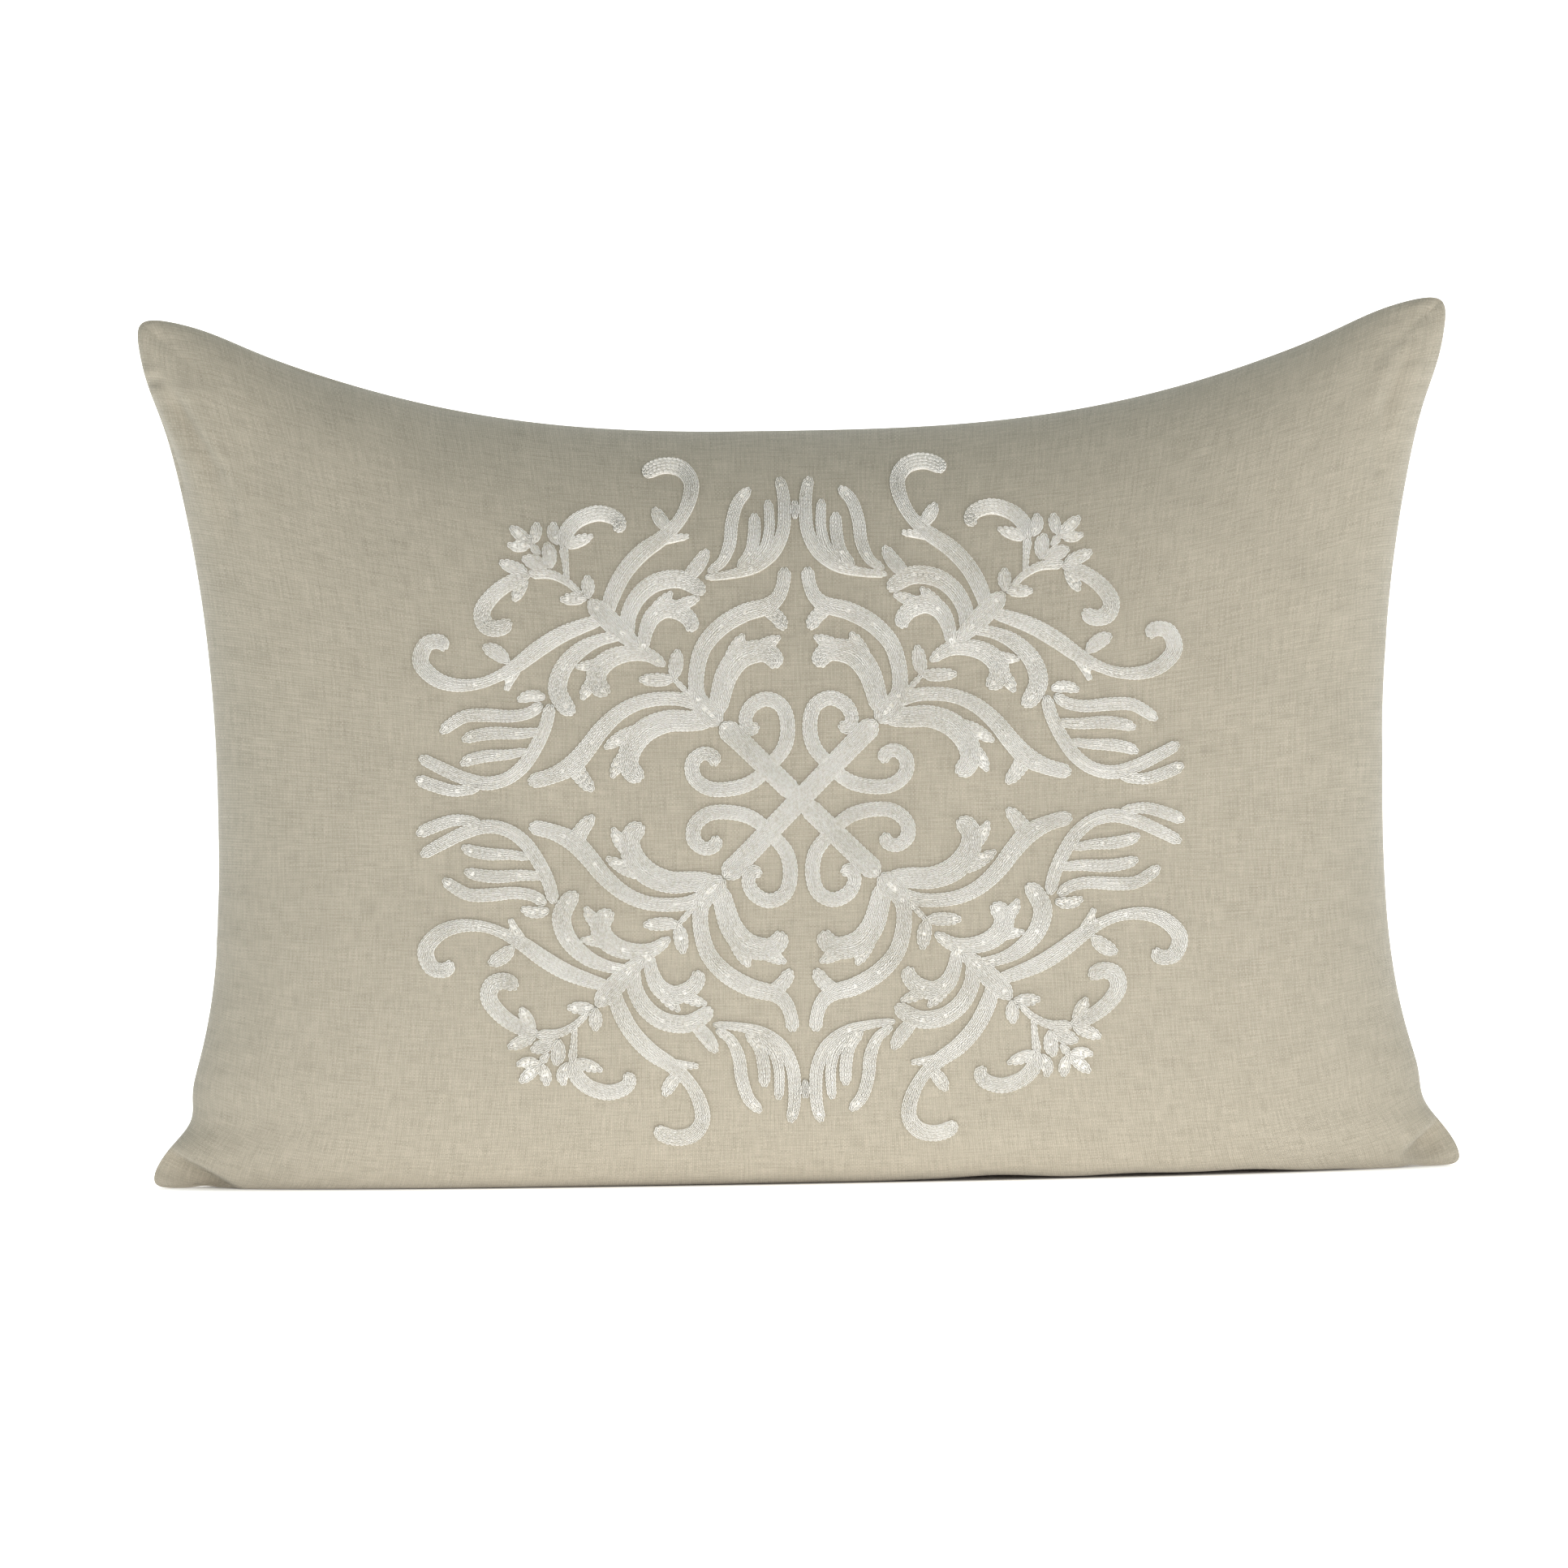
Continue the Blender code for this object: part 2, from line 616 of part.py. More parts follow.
def slider():
    """The slider: two plates on a neck between the coils, and a bridge that holds the tab."""
    long = SLIDER_LENGTH / 2
    inner, outer = SLIDER_WIDTH / 2, SLIDER_FOOT / 2
    sink = SLIDER_PLATE / 2
    bridge, half = BRIDGE_LENGTH / 2, BRIDGE_WIDTH / 2
    low = SLIDER_LOW - BRIDGE_RISE
    left, right = SLIDER_X - long, SLIDER_X + long
    pieces = [
        part("inner_plate", (left, -inner, SLIDER_TOP - SLIDER_PLATE), (right, inner, SLIDER_TOP)),
        part("outer_plate", (left, -outer, SLIDER_LOW), (right, outer, SLIDER_LOW + SLIDER_PLATE)),
        part(
            "neck",
            (SLIDER_X + long * NECK_FROM, -SLIDER_NECK / 2, SLIDER_LOW + sink),
            (SLIDER_X + long * NECK_TO, SLIDER_NECK / 2, SLIDER_TOP - sink),
        ),
        part("bridge", (SLIDER_X - bridge, -half, low), (SLIDER_X + bridge, half, low + BRIDGE_BAR)),
    ]
    for side in (-1, 1):
        ends = sorted((side * bridge, side * (bridge - BRIDGE_BAR)))
        pieces.append(
            part(
                "bridge_leg",
                (SLIDER_X + ends[0], -half + LEG_INSET, low + BRIDGE_BAR / 2),
                (SLIDER_X + ends[1], half - LEG_INSET, SLIDER_LOW + sink),
            )
        )
    joined("zip_slider", pieces, METAL)


def pull_tab():
    """The tab: a plate with an eye, turning on its own cross bar inside the bridge."""
    half, thick = TAB_WIDTH / 2, TAB_THICK / 2
    eye = BRIDGE_WIDTH / 2 + GAP
    end = -TAB_LENGTH
    plate = part("plate", (end, -half, -thick), (0, half, thick))
    hole = part("eye", (-TAB_EYE, -eye, -thick * 3), (PIN_RADIUS * 3, eye, thick * 3))
    cut = plate.modifiers.new("eye", "BOOLEAN")
    cut.operation = "DIFFERENCE"
    cut.object = hole
    bpy.ops.mesh.primitive_cylinder_add(vertices=16, radius=PIN_RADIUS, depth=TAB_WIDTH)
    bar = bpy.context.active_object
    bar.rotation_euler = (math.pi / 2, 0, 0)
    adopt(bar, "bar", METAL, CUTTERS)
    bpy.context.view_layer.update()
    graph = bpy.context.evaluated_depsgraph_get()
    holed = bpy.data.objects.new("plate", bpy.data.meshes.new_from_object(plate.evaluated_get(graph)))
    CUTTERS.objects.link(holed)
    for spent in (plate, hole):
        bpy.data.objects.remove(spent, do_unlink=True)
    tab = joined("zip_pull_tab", [holed, bar], METAL)
    tab.location = (SLIDER_X, 0.0, HINGE_Z)


# ---------------------------------------------------------------- labels


def labels():
    """Blank labels: one on the cover's side seam, one on the insert, both inside."""
    layer = Layer(depth=UNDER_CLOTH, inset=UNDER_CLOTH)
    for name, across, up in (
        ("care_label", (-7, -6), (-2, 0)),
        ("insert_label", (2, 3), (3, 4)),
    ):
        sheet = cloth(layer, False, across, up)
        solidify(adopt(sheet, name, SATIN), LABEL_THICK)


cover()
seams()
embroidery()
backing()
insert()
zip_tapes()
zip_ends()
topstitching()
slider()
pull_tab()
labels()
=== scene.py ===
"""Lumbar throw pillow: natural linen cover with a chain-stitched medallion, standing on its zip seam.

Metres, +Z up, front towards -Y, origin on the floor under the middle. Every layer comes from one
form: a square of (u, v) laid over the front or the back, u across and v up, both from -1 to 1.
"""

import math

import bpy
import numpy as np
from mathutils import Matrix, Vector
from mathutils.bvhtree import BVHTree


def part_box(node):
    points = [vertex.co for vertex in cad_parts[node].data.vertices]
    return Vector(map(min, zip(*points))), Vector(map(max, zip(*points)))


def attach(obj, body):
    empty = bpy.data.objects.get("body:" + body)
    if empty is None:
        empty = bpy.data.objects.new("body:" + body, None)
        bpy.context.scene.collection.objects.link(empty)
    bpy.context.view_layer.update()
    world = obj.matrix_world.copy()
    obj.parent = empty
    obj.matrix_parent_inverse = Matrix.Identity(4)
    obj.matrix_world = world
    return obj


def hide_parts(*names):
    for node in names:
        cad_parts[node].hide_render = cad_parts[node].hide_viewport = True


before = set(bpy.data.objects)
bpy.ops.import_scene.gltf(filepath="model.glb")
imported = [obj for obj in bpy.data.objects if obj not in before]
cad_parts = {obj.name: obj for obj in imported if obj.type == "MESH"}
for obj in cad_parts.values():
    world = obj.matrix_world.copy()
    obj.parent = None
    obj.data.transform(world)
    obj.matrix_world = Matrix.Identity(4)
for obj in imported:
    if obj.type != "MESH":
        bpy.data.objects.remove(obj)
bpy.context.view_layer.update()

MM = 0.001

# ---------------------------------------------------------------- form, as the CAD model has it

WIDTH = 0.504
HEIGHT = 0.332
THICKNESS = 0.164
EAR_REACH = 0.0313
EAR_RISE = 0.049
WAIST = 0.140
BEND_BELOW = 3.0
BEND_ABOVE = 2.2
BEND_TOP = 2.8
ROUND_TOP = 1.4
BELLY = 0.118
SAG = 0.0245
PRESS_ROUND = 0.005
CORNER_ROUND = 40
GROOVE_DEPTH = 0.008
GROOVE_HALF = 0.011
ZIP_HALF = 0.19304
SLIT_END = 0.21824
ZIP_SLIT = 0.006
CLOTH = 0.0008
GAP = 0.0003
RIM = CLOTH + GAP / 2
FRONT_DEPTH = THICKNESS / 2 - 0.0011
BACK_DEPTH = THICKNESS / 2
INSERT_DEPTH = 0.0034  # ticking under the cover's outer face
INSERT_INSET = 0.014
FRONT, BACK = -1, 1

ACROSS, UP = 264, 176  # cells of a cover panel


def smooth(t):
    t = np.clip(t, 0, 1)
    return t * t * (3 - 2 * t)


def cell_lines(cells):
    """u or v of the lines of cells, closer together towards the seam, where the form turns fastest."""
    return np.sin(np.linspace(-math.pi / 2, math.pi / 2, cells + 1))


def half_width(height, inset=0.0):
    below = np.clip(1 - height / WAIST, 0, None) ** BEND_BELOW
    above = np.clip((height - WAIST) / (HEIGHT - WAIST), 0, None) ** BEND_ABOVE
    return WIDTH / 2 - inset - EAR_REACH * (1 - np.where(height < WAIST, below, above))


def top_seam(u, inset=0.0):
    return HEIGHT - inset - EAR_RISE * np.clip(1 - np.abs(u) ** BEND_TOP, 0, None) ** ROUND_TOP


def natural(u, v, depth=0.0, inset=0.0):
    """Height of (u, v) before the floor presses on it."""
    down = BELLY + (SAG - depth) * (1 - np.abs(u) ** 6)
    return BELLY + np.where(v >= 0, top_seam(u, inset) - BELLY, down) * v


def plump(u, v):
    """Share of the full depth: 1 at the belly and 0 all along the seam."""
    across = np.clip(1 - np.abs(u) ** 2.4, 0, 1) ** 0.5
    return across * np.clip(1 - np.abs(v) ** 2.2, 0, 1) ** 0.62


def blunt(u, v):
    """(u, v) drawn in at the corners, so that the seam turns them in a small round."""
    reach = np.maximum(np.maximum(np.abs(u), np.abs(v)), 1e-6)
    full = (np.abs(u) / reach) ** CORNER_ROUND + (np.abs(v) / reach) ** CORNER_ROUND
    pull = 1 - (1 - np.maximum(full, 0.5) ** (-1 / CORNER_ROUND)) * reach**12
    return u * pull, v * pull


def pressed(height, floor):
    over = height - floor
    landing = floor + (over + PRESS_ROUND) ** 2 / (4 * PRESS_ROUND)
    return np.where(over > PRESS_ROUND, height, np.where(over < -PRESS_ROUND, floor, landing))


def skin(u, v, side, depth=0.0, inset=0.0, rim=RIM, groove=0.0, groove_half=0.0, slit=0.0):
    """Points of a layer at (u, v), on the front or on the back."""
    swell = plump(u, v)
    u, v = blunt(u, v)
    full = (FRONT_DEPTH if side == FRONT else BACK_DEPTH) - depth
    x = u * half_width(natural(np.ones_like(u), v, depth, inset), inset)
    open_share = np.clip((SLIT_END - np.abs(x)) / (SLIT_END - ZIP_HALF), 0, 1)
    lips = np.clip(slit / 2 * open_share - rim, 0, None) * np.abs(v) ** 8
    edge = rim + np.where(v < 0, lips, 0.0)
    y = edge + (full - edge) * swell
    height = natural(u, v, depth, inset)
    hollow = np.clip(1 - y / (GROOVE_HALF + groove_half), 0, None)
    near_floor = np.clip(1.5 - height / 0.014, 0, 1)
    near_zip = smooth((0.236 - np.abs(x)) / 0.020)
    z = pressed(height, depth) + (GROOVE_DEPTH + groove) * hollow * near_floor * near_zip
    return np.stack([x, side * y, z], axis=-1)


# ---------------------------------------------------------------- how the cloth lies

# Soft creases: side, start and end as (x, z) in mm, depth in mm, half width in mm.
CREASES = (
    (FRONT, (-235, 300), (-219, 272), 2.2, 2.6),
    (FRONT, (-219, 272), (-211, 250), 1.1, 3.5),
    (FRONT, (-249, 305), (-239, 306), 1.2, 1.6),
    (FRONT, (-243, 296), (-231, 262), 1.3, 3.0),
    (FRONT, (232, 306), (222, 284), 1.6, 2.6),
    (FRONT, (222, 284), (219, 262), 0.8, 3.6),
    (BACK, (-233, 302), (-214, 268), 1.8, 3.0),
    (BACK, (230, 300), (213, 262), 1.8, 3.2),
    (BACK, (-236, 22), (-205, 6), 2.2, 3.2),
    (BACK, (236, 24), (203, 8), 2.2, 3.2),
)
# The bottom corners are tucked back under the body: side, the fold's two ends in mm, share of the
# depth that is lost, reach of the tuck in mm.
TUCKS = (
    (FRONT, (-243, 16), (-209, -3), 0.93, 11),
    (FRONT, (241, 19.5), (223, 4), 0.90, 9),
)


def from_line(x, z, start, end):
    """(share along a line, distance to its right, its length) in mm."""
    (ax, az), (bx, bz) = start, end
    length = math.hypot(bx - ax, bz - az)
    tx, tz = (bx - ax) / length, (bz - az) / length
    dx, dz = x / MM - ax, z / MM - az
    return (dx * tx + dz * tz) / length, dx * tz - dz * tx, length


def ripple(t, seed, waves):
    """A fixed uneven wave along t, from -1 to 1."""
    found = 0.0
    for index, wave in enumerate(waves):
        found = found + np.sin(2 * math.pi * t / wave + 1.7 * seed + 2.4 * index * (seed + 1))
    return found / len(waves)


def relief(x, z, side):
    """How far the cloth stands off the plain form, in metres: the filling's lumps and the creases."""
    lumps = ripple(x / MM + 0.35 * z / MM, 1 + side, (97, 61)) * ripple(z / MM - 0.2 * x / MM, 3 + side,
        (83, 57))
    out = 0.9 * lumps
    for crease_side, start, end, depth, half in CREASES:
        if crease_side == side:
            share, off, _ = from_line(x, z, start, end)
            window = smooth((share + 0.25) / 0.45) * smooth((1.25 - share) / 0.45)
            beside = (np.abs(off) - 2.1 * half) / (1.2 * half)
            valley = np.exp(-(off / half) ** 2) - 0.45 * np.exp(-(beside**2))
            out = out - depth * window * valley
    return out * MM


def tuck(x, z, side):
    """Share of the depth that is left where a bottom corner is tucked back."""
    left = np.ones_like(x)
    for tuck_side, start, end, lost, reach in TUCKS:
        if tuck_side == side:
            share, off, _ = from_line(x, z, start, end)
            off = off * (1 if start[0] < 0 else -1)
            step = smooth((off + 1.0) / 1.8) * (1 - 0.6 * smooth((off - 0.55 * reach) / reach))
            window = smooth((share + 0.5) / 0.5) * (1 - smooth((share - 0.45) / 0.6))
            left = left * (1 - lost * step * window)
    return left


def seam_pucker(u, v, x, z, side):
    """Little gathers that the seam draws in the cloth beside it, in metres."""
    found = 0.0
    for edge, t, seed in ((1 - np.abs(u), z, 5), (1 - np.abs(v), x, 9)):
        off = np.sqrt(np.clip(edge, 0, None)) / 0.16
        near = off * np.exp(1 - off)
        found = found + near ** 2 * ripple(t / MM, seed + side, (13.0, 8.3, 21.0))
    return 0.30 * MM * found


def lift(x, z, y):
    """How far the front's bottom roll stands clear of the floor, in metres."""
    t = x / MM
    rise = 1.3 * smooth((t - 20) / 50) * smooth((212 - t) / 20) * (0.75 + 0.45 * ripple(t, 2, (88, 47)))
    return rise * MM * smooth((0.016 - z) / 0.016) * smooth((-y - 0.004) / 0.008)


def normals_of(points):
    """Unit normals of a grid of points, away from the filling."""
    across = np.gradient(points, axis=1)
    up = np.gradient(points, axis=0)
    found = np.cross(across, up)
    return found / np.maximum(np.linalg.norm(found, axis=-1, keepdims=True), 1e-12)


def shoulder(u, z):
    """How far the side is drawn in above its bottom ear, in metres."""
    deep = np.where(u < 0, 4.6, 3.4) * MM
    return deep * np.exp(-(((z / MM - 25) / 9.5) ** 2)) * smooth((np.abs(u) - 0.72) / 0.28)


def top_ears(u, v, x, z):
    """How the top corners are filled out, where the seam allowances lie folded in them, in metres."""
    wider = 1.7 * MM * np.exp(-(((z / MM - 306) / 15) ** 2)) * smooth((np.abs(u) - 0.75) / 0.25)
    higher = 1.6 * MM * np.exp(-(((np.abs(x) / MM - 222) / 18) ** 2)) * smooth((v - 0.75) / 0.25)
    return np.stack([np.sign(u) * wider, np.zeros_like(x), higher], axis=-1)


def dressed(u, v, side, **layer):
    """A layer with its creases."""
    points = skin(u, v, side, **layer)
    points[..., 0] -= np.sign(u) * shoulder(u, points[..., 2])
    points += top_ears(u, v, points[..., 0], points[..., 2])
    x, z = points[..., 0], points[..., 2]
    rim = layer.get("rim", RIM)
    points[..., 1] = side * (rim + (np.abs(points[..., 1]) - rim) * tuck(x, z, side))
    normals = normals_of(points) * -side
    hold = np.clip(np.minimum(1 - np.abs(u), 1 - np.abs(v)) / 0.004, 0, 1)
    off = relief(x, z, side) + seam_pucker(u, v, x, z, side)
    floor_hold = smooth(points[..., 2] / 0.02)
    points = points + normals * (off * hold * floor_hold)[..., None]
    if side == FRONT:
        points[..., 2] += lift(points[..., 0], points[..., 2], points[..., 1])
    return points


# ---------------------------------------------------------------- shared shapes


def mesh_object(name, points, faces, material, smooth_faces=True):
    mesh = bpy.data.meshes.new(name)
    mesh.from_pydata([tuple(p) for p in np.asarray(points, float)], [],
        [tuple(int(i) for i in f) for f in faces])
    mesh.validate()
    mesh.update()
    if smooth_faces:
        mesh.shade_smooth()
    if material:
        mesh.materials.append(material)
    made = bpy.data.objects.new(name, mesh)
    bpy.context.scene.collection.objects.link(made)
    return made


def grid_faces(rows, columns, turned=False):
    at = np.arange(rows * columns).reshape(rows, columns)
    faces = np.stack([at[:-1, :-1], at[:-1, 1:], at[1:, 1:], at[1:, :-1]], axis=-1).reshape(-1, 4)
    return faces[:, ::-1] if turned else faces


def set_uv(mesh, name, coordinates):
    """A UV map from one (u, v) for each vertex."""
    layer = mesh.uv_layers.new(name=name)
    index = np.empty(len(mesh.loops), np.int32)
    mesh.loops.foreach_get("vertex_index", index)
    layer.data.foreach_set("uv", np.asarray(coordinates, np.float32)[index].ravel())


def apply_modifiers(obj):
    bpy.context.view_layer.update()
    graph = bpy.context.evaluated_depsgraph_get()
    mesh = bpy.data.meshes.new_from_object(obj.evaluated_get(graph), depsgraph=graph)
    obj.modifiers.clear()
    old = obj.data
    obj.data = mesh
    mesh.name = obj.name
    bpy.data.meshes.remove(old)
    return obj


def solidify(obj, thickness, offset=-1.0):
    wall = obj.modifiers.new("wall", "SOLIDIFY")
    wall.thickness = thickness
    wall.offset = offset
    wall.use_even_offset = False
    return apply_modifiers(obj)


def corners_of(box):
    """The low and high corners of a box, as vectors."""
    return [Vector(corner) for corner in box]


def settle(obj, slot, *cad_nodes, body="pillow"):
    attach(obj, body)
    if cad_nodes:
        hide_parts(*cad_nodes)
    return obj


# ---------------------------------------------------------------- materials


def linear(code):
    """An sRGB hex value as linear light."""
    parts = [int(code[i : i + 2], 16) / 255 for i in (1, 3, 5)]
    return tuple(c / 12.92 if c <= 0.04045 else ((c + 0.055) / 1.055) ** 2.4 for c in parts) + (1.0,)


def add(tree, kind, links=(), **settings):
    """A node with its settings, its input values and its links."""
    node = tree.nodes.new(kind)
    for key, value in settings.items():
        setattr(node, key, value)
    for socket, value in links:
        if isinstance(value, bpy.types.NodeSocket):
            tree.links.new(value, node.inputs[socket])
        else:
            node.inputs[socket].default_value = value
    return node


def new_material(name, roughness, colour=None, **fixed):
    """A material with its shader's constants set, and nothing else yet."""
    made = bpy.data.materials.new(name)
    made.use_nodes = True
    shader = made.node_tree.nodes["Principled BSDF"]
    shader.inputs["Roughness"].default_value = roughness
    if colour:
        shader.inputs["Base Color"].default_value = linear(colour)
    for key, value in fixed.items():
        shader.inputs[key.replace("_", " ")].default_value = value
    return made, made.node_tree, shader


def woven(name, dark, light, pitch, roughness, bump, uneven=1.0, uv=None, **fixed):
    """Plain weave: warp and weft of uneven threads passing over and under, pitch mm apart."""
    made, tree, shader = new_material(name, roughness, **fixed)
    if uv:
        place = add(tree, "ShaderNodeUVMap", uv_map=uv).outputs["UV"]
        turn = (0, 0, 0)
    else:
        place = add(tree, "ShaderNodeTexCoord").outputs["Object"]
        turn = (math.pi / 2, 0, 0)
    flat = add(tree, "ShaderNodeMapping", [(0, place), ("Rotation", turn),
        ("Scale", (1000.0,) * 3)]).outputs[0]
    wander = add(tree, "ShaderNodeTexNoise", [("Vector", flat), ("Scale", 0.035),
        ("Detail", 1.0)]).outputs["Color"]
    bent = add(tree, "ShaderNodeVectorMath", [(0, wander), (1, (pitch * 2.2,) * 3), (2, flat)],
        operation="MULTIPLY_ADD")
    split = add(tree, "ShaderNodeSeparateXYZ", [(0, bent.outputs[0])]).outputs
    waves, tones = [], []
    for axis in (0, 1):
        angle = add(tree, "ShaderNodeMath", [(0, split[axis]), (1, math.pi / pitch)],
            operation="MULTIPLY").outputs[0]
        waves.append(add(tree, "ShaderNodeMath", [(0, angle)], operation="SINE").outputs[0])
        stretch = [1 / (pitch * 1.1)] * 3
        stretch[1 - axis] = 1 / (pitch * 14)
        lane = add(
            tree, "ShaderNodeMapping", [(0, flat), ("Scale", stretch),
             ("Location", (31.0 * axis, 17.0, 3.0))]
        ).outputs[0]
        tones.append(
            add(tree, "ShaderNodeTexNoise", [("Vector", lane), ("Scale", 1.0), ("Detail", 2.5),
             ("Roughness", 0.6)]).outputs[0]
        )
    over = add(tree, "ShaderNodeMath", [(0, waves[0]), (1, waves[1])], operation="MULTIPLY").outputs[0]
    swap = add(tree, "ShaderNodeMapRange", [("Value", over), ("From Min", -0.25),
        ("From Max", 0.25)]).outputs[0]
    tone = add(tree, "ShaderNodeMix", [(0, swap), (2, tones[0]), (3, tones[1])],
        data_type="FLOAT").outputs[0]
    # Painted shade: the colour is made lighter on the threads' crests and darker along the lines between
    # them, on top of the same relief that the bump gives.
    knuckle = add(tree, "ShaderNodeMath", [(0, over)], operation="ABSOLUTE").outputs[0]
    patch = add(tree, "ShaderNodeTexNoise", [("Vector", flat), ("Scale", 0.06), ("Detail", 3.0),
        ("Roughness", 0.7)]).outputs[0]
    level = add(tree, "ShaderNodeMath", [(0, tone), (1, uneven), (2, -0.5 * uneven + 0.30)],
        operation="MULTIPLY_ADD").outputs[0]
    lit = add(tree, "ShaderNodeMath", [(0, knuckle), (1, 0.30), (2, level)],
        operation="MULTIPLY_ADD").outputs[0]
    shade = add(tree, "ShaderNodeMath", [(0, patch), (1, 0.32), (2, lit)],
        operation="MULTIPLY_ADD").outputs[0]
    mix = add(tree, "ShaderNodeMix", [(0, shade), (6, linear(dark)), (7, linear(light))],
        data_type="RGBA").outputs[2]
    tree.links.new(mix, shader.inputs["Base Color"])
    height = add(tree, "ShaderNodeMath", [(0, tone), (1, 0.8), (2, knuckle)],
        operation="MULTIPLY_ADD").outputs[0]
    raised = add(tree, "ShaderNodeBump", [("Height", height), ("Strength", bump), ("Distance", 0.00014)])
    tree.links.new(raised.outputs[0], shader.inputs["Normal"])
    return made


def spun(name, colour, pale, roughness, grain, bump=0.5, contrast=0.6, **fixed):
    """Twisted thread: fine slanting plies with a little unevenness in tone."""
    made, tree, shader = new_material(name, roughness, **fixed)
    place = add(tree, "ShaderNodeTexCoord").outputs["Object"]
    speck = add(tree, "ShaderNodeTexNoise", [("Vector", place), ("Scale", 1 / grain), ("Detail", 3.0),
        ("Roughness", 0.6)]).outputs[0]
    drift = add(tree, "ShaderNodeTexNoise", [("Vector", place), ("Scale", 45.0),
        ("Detail", 2.0)]).outputs[0]
    both = add(tree, "ShaderNodeMath", [(0, speck), (1, contrast), (2, drift)],
        operation="MULTIPLY_ADD").outputs[0]
    ends = [("Value", both), ("From Min", 0.25 + contrast * 0.37), ("From Max", 0.65 + contrast * 0.52)]
    level = add(tree, "ShaderNodeMapRange", ends).outputs[0]
    mix = add(tree, "ShaderNodeMix", [(0, level), (6, linear(colour)), (7, linear(pale))],
        data_type="RGBA").outputs[2]
    tree.links.new(mix, shader.inputs["Base Color"])
    raised = add(tree, "ShaderNodeBump", [("Height", speck), ("Strength", bump), ("Distance", 0.00015)])
    tree.links.new(raised.outputs[0], shader.inputs["Normal"])
    return made


def cast_metal(name, colour, dark, roughness):
    """Plated zinc die casting: faint cloudy tarnish and handling marks."""
    made, tree, shader = new_material(name, roughness, Metallic=1.0)
    place = add(tree, "ShaderNodeTexCoord").outputs["Object"]
    cloud = add(tree, "ShaderNodeTexNoise", [("Vector", place), ("Scale", 700.0),
        ("Detail", 4.0)]).outputs[0]
    mix = add(tree, "ShaderNodeMix", [(0, cloud), (6, linear(dark)), (7, linear(colour))],
        data_type="RGBA").outputs[2]
    tree.links.new(mix, shader.inputs["Base Color"])
    rough = add(tree, "ShaderNodeMapRange", [("Value", cloud), ("To Min", roughness - 0.08),
        ("To Max", roughness + 0.14)])
    tree.links.new(rough.outputs[0], shader.inputs["Roughness"])
    raised = add(tree, "ShaderNodeBump", [("Height", cloud), ("Strength", 0.15), ("Distance", 0.0001)])
    tree.links.new(raised.outputs[0], shader.inputs["Normal"])
    return made


LINEN = woven("natural_linen_plain_weave", "#948E7F", "#BEB7A8", 0.8, 0.90, 0.6, uneven=1.9, uv="cut",
    Sheen_Weight=0.2, Sheen_Roughness=0.5)
# Partly painted light: the ivory thread's strong speckle contrast paints sheen glints and specks of shade
# between the stitches into its colour, on top of its random unevenness in tone.
IVORY = spun("ivory_cotton_chain_stitch", "#DEDBD0", "#FFFFFC", 0.5, 0.0010, bump=0.8, contrast=2.2,
    Sheen_Weight=0.3, Sheen_Roughness=0.4)
SEWING = spun("polyester_sewing_thread", "#A89F8A", "#BBB29D", 0.55, 0.0005)
TICKING = woven("white_cotton_ticking", "#D8D6CF", "#ECEAE4", 0.6, 0.88, 0.35, uneven=0.6)
STABILISER = spun("nonwoven_stabiliser", "#DAD9D4", "#EFEEEA", 0.9, 0.0012)
FIBRE = spun("polyester_fibre_filling", "#E6E5E1", "#F4F3F0", 0.95, 0.002, bump=1.0)
TAPE = woven("polyester_zip_tape", "#958C78", "#ABA18C", 0.7, 0.75, 0.5, uneven=0.5)
NYLON = spun("nylon_zip_coil", "#A0967F", "#B4AA93", 0.38, 0.0008, bump=0.2)
ZINC = cast_metal("plated_zinc_casting", "#B9B2A4", "#8C8579", 0.30)
SATIN = woven("white_satin_label", "#E4E2DB", "#F4F2EC", 0.35, 0.42, 0.25, uneven=0.4)

# ---------------------------------------------------------------- cover


def panel(name, side):
    """One linen panel: the outer face of the dressed form, with its thickness inwards."""
    u, v = np.meshgrid(cell_lines(ACROSS), cell_lines(UP))
    points = dressed(u, v, side, slit=ZIP_SLIT)
    made = mesh_object(name, points.reshape(-1, 3), grid_faces(UP + 1, ACROSS + 1, side == BACK), LINEN)
    cut = np.stack([u * 0.254 + (0.6 if side == BACK else 0.0), v * 0.178], axis=-1).reshape(-1, 2)
    set_uv(made.data, "cut", cut)
    return made, points


front_panel, front_points = panel("linen_front_panel", FRONT)
back_panel, _ = panel("linen_back_panel", BACK)

# ---------------------------------------------------------------- camera

EYE = Vector((-0.006, -2.4, 0.149))
FRAME_WIDE = 0.595  # width of the view at the seam's plane
LEVEL = math.radians(1.03)  # the camera leans this far


def camera():
    data = bpy.data.cameras.new("camera")
    data.sensor_width = 36.0
    data.lens = 36.0 * -EYE.y / FRAME_WIDE
    made = bpy.data.objects.new("camera", data)
    made.location = EYE
    made.rotation_mode = "QUATERNION"
    made.rotation_quaternion = Matrix.Rotation(math.pi / 2, 3,
        "X").to_quaternion() @ Matrix.Rotation(-LEVEL, 3, "Z").to_quaternion()
    bpy.context.scene.collection.objects.link(made)
    bpy.context.scene.camera = made


# ---------------------------------------------------------------- embroidery

MIDDLE = (0.0, 0.143)  # x and z of the medallion's middle
ROW = 1.25  # mm between rows of chain stitch
LINK = 1.75  # mm along one stitch
STITCH_RISE = 1.0
PAD_RISE = 0.34  # mm from the linen to the top of the padding under the rows

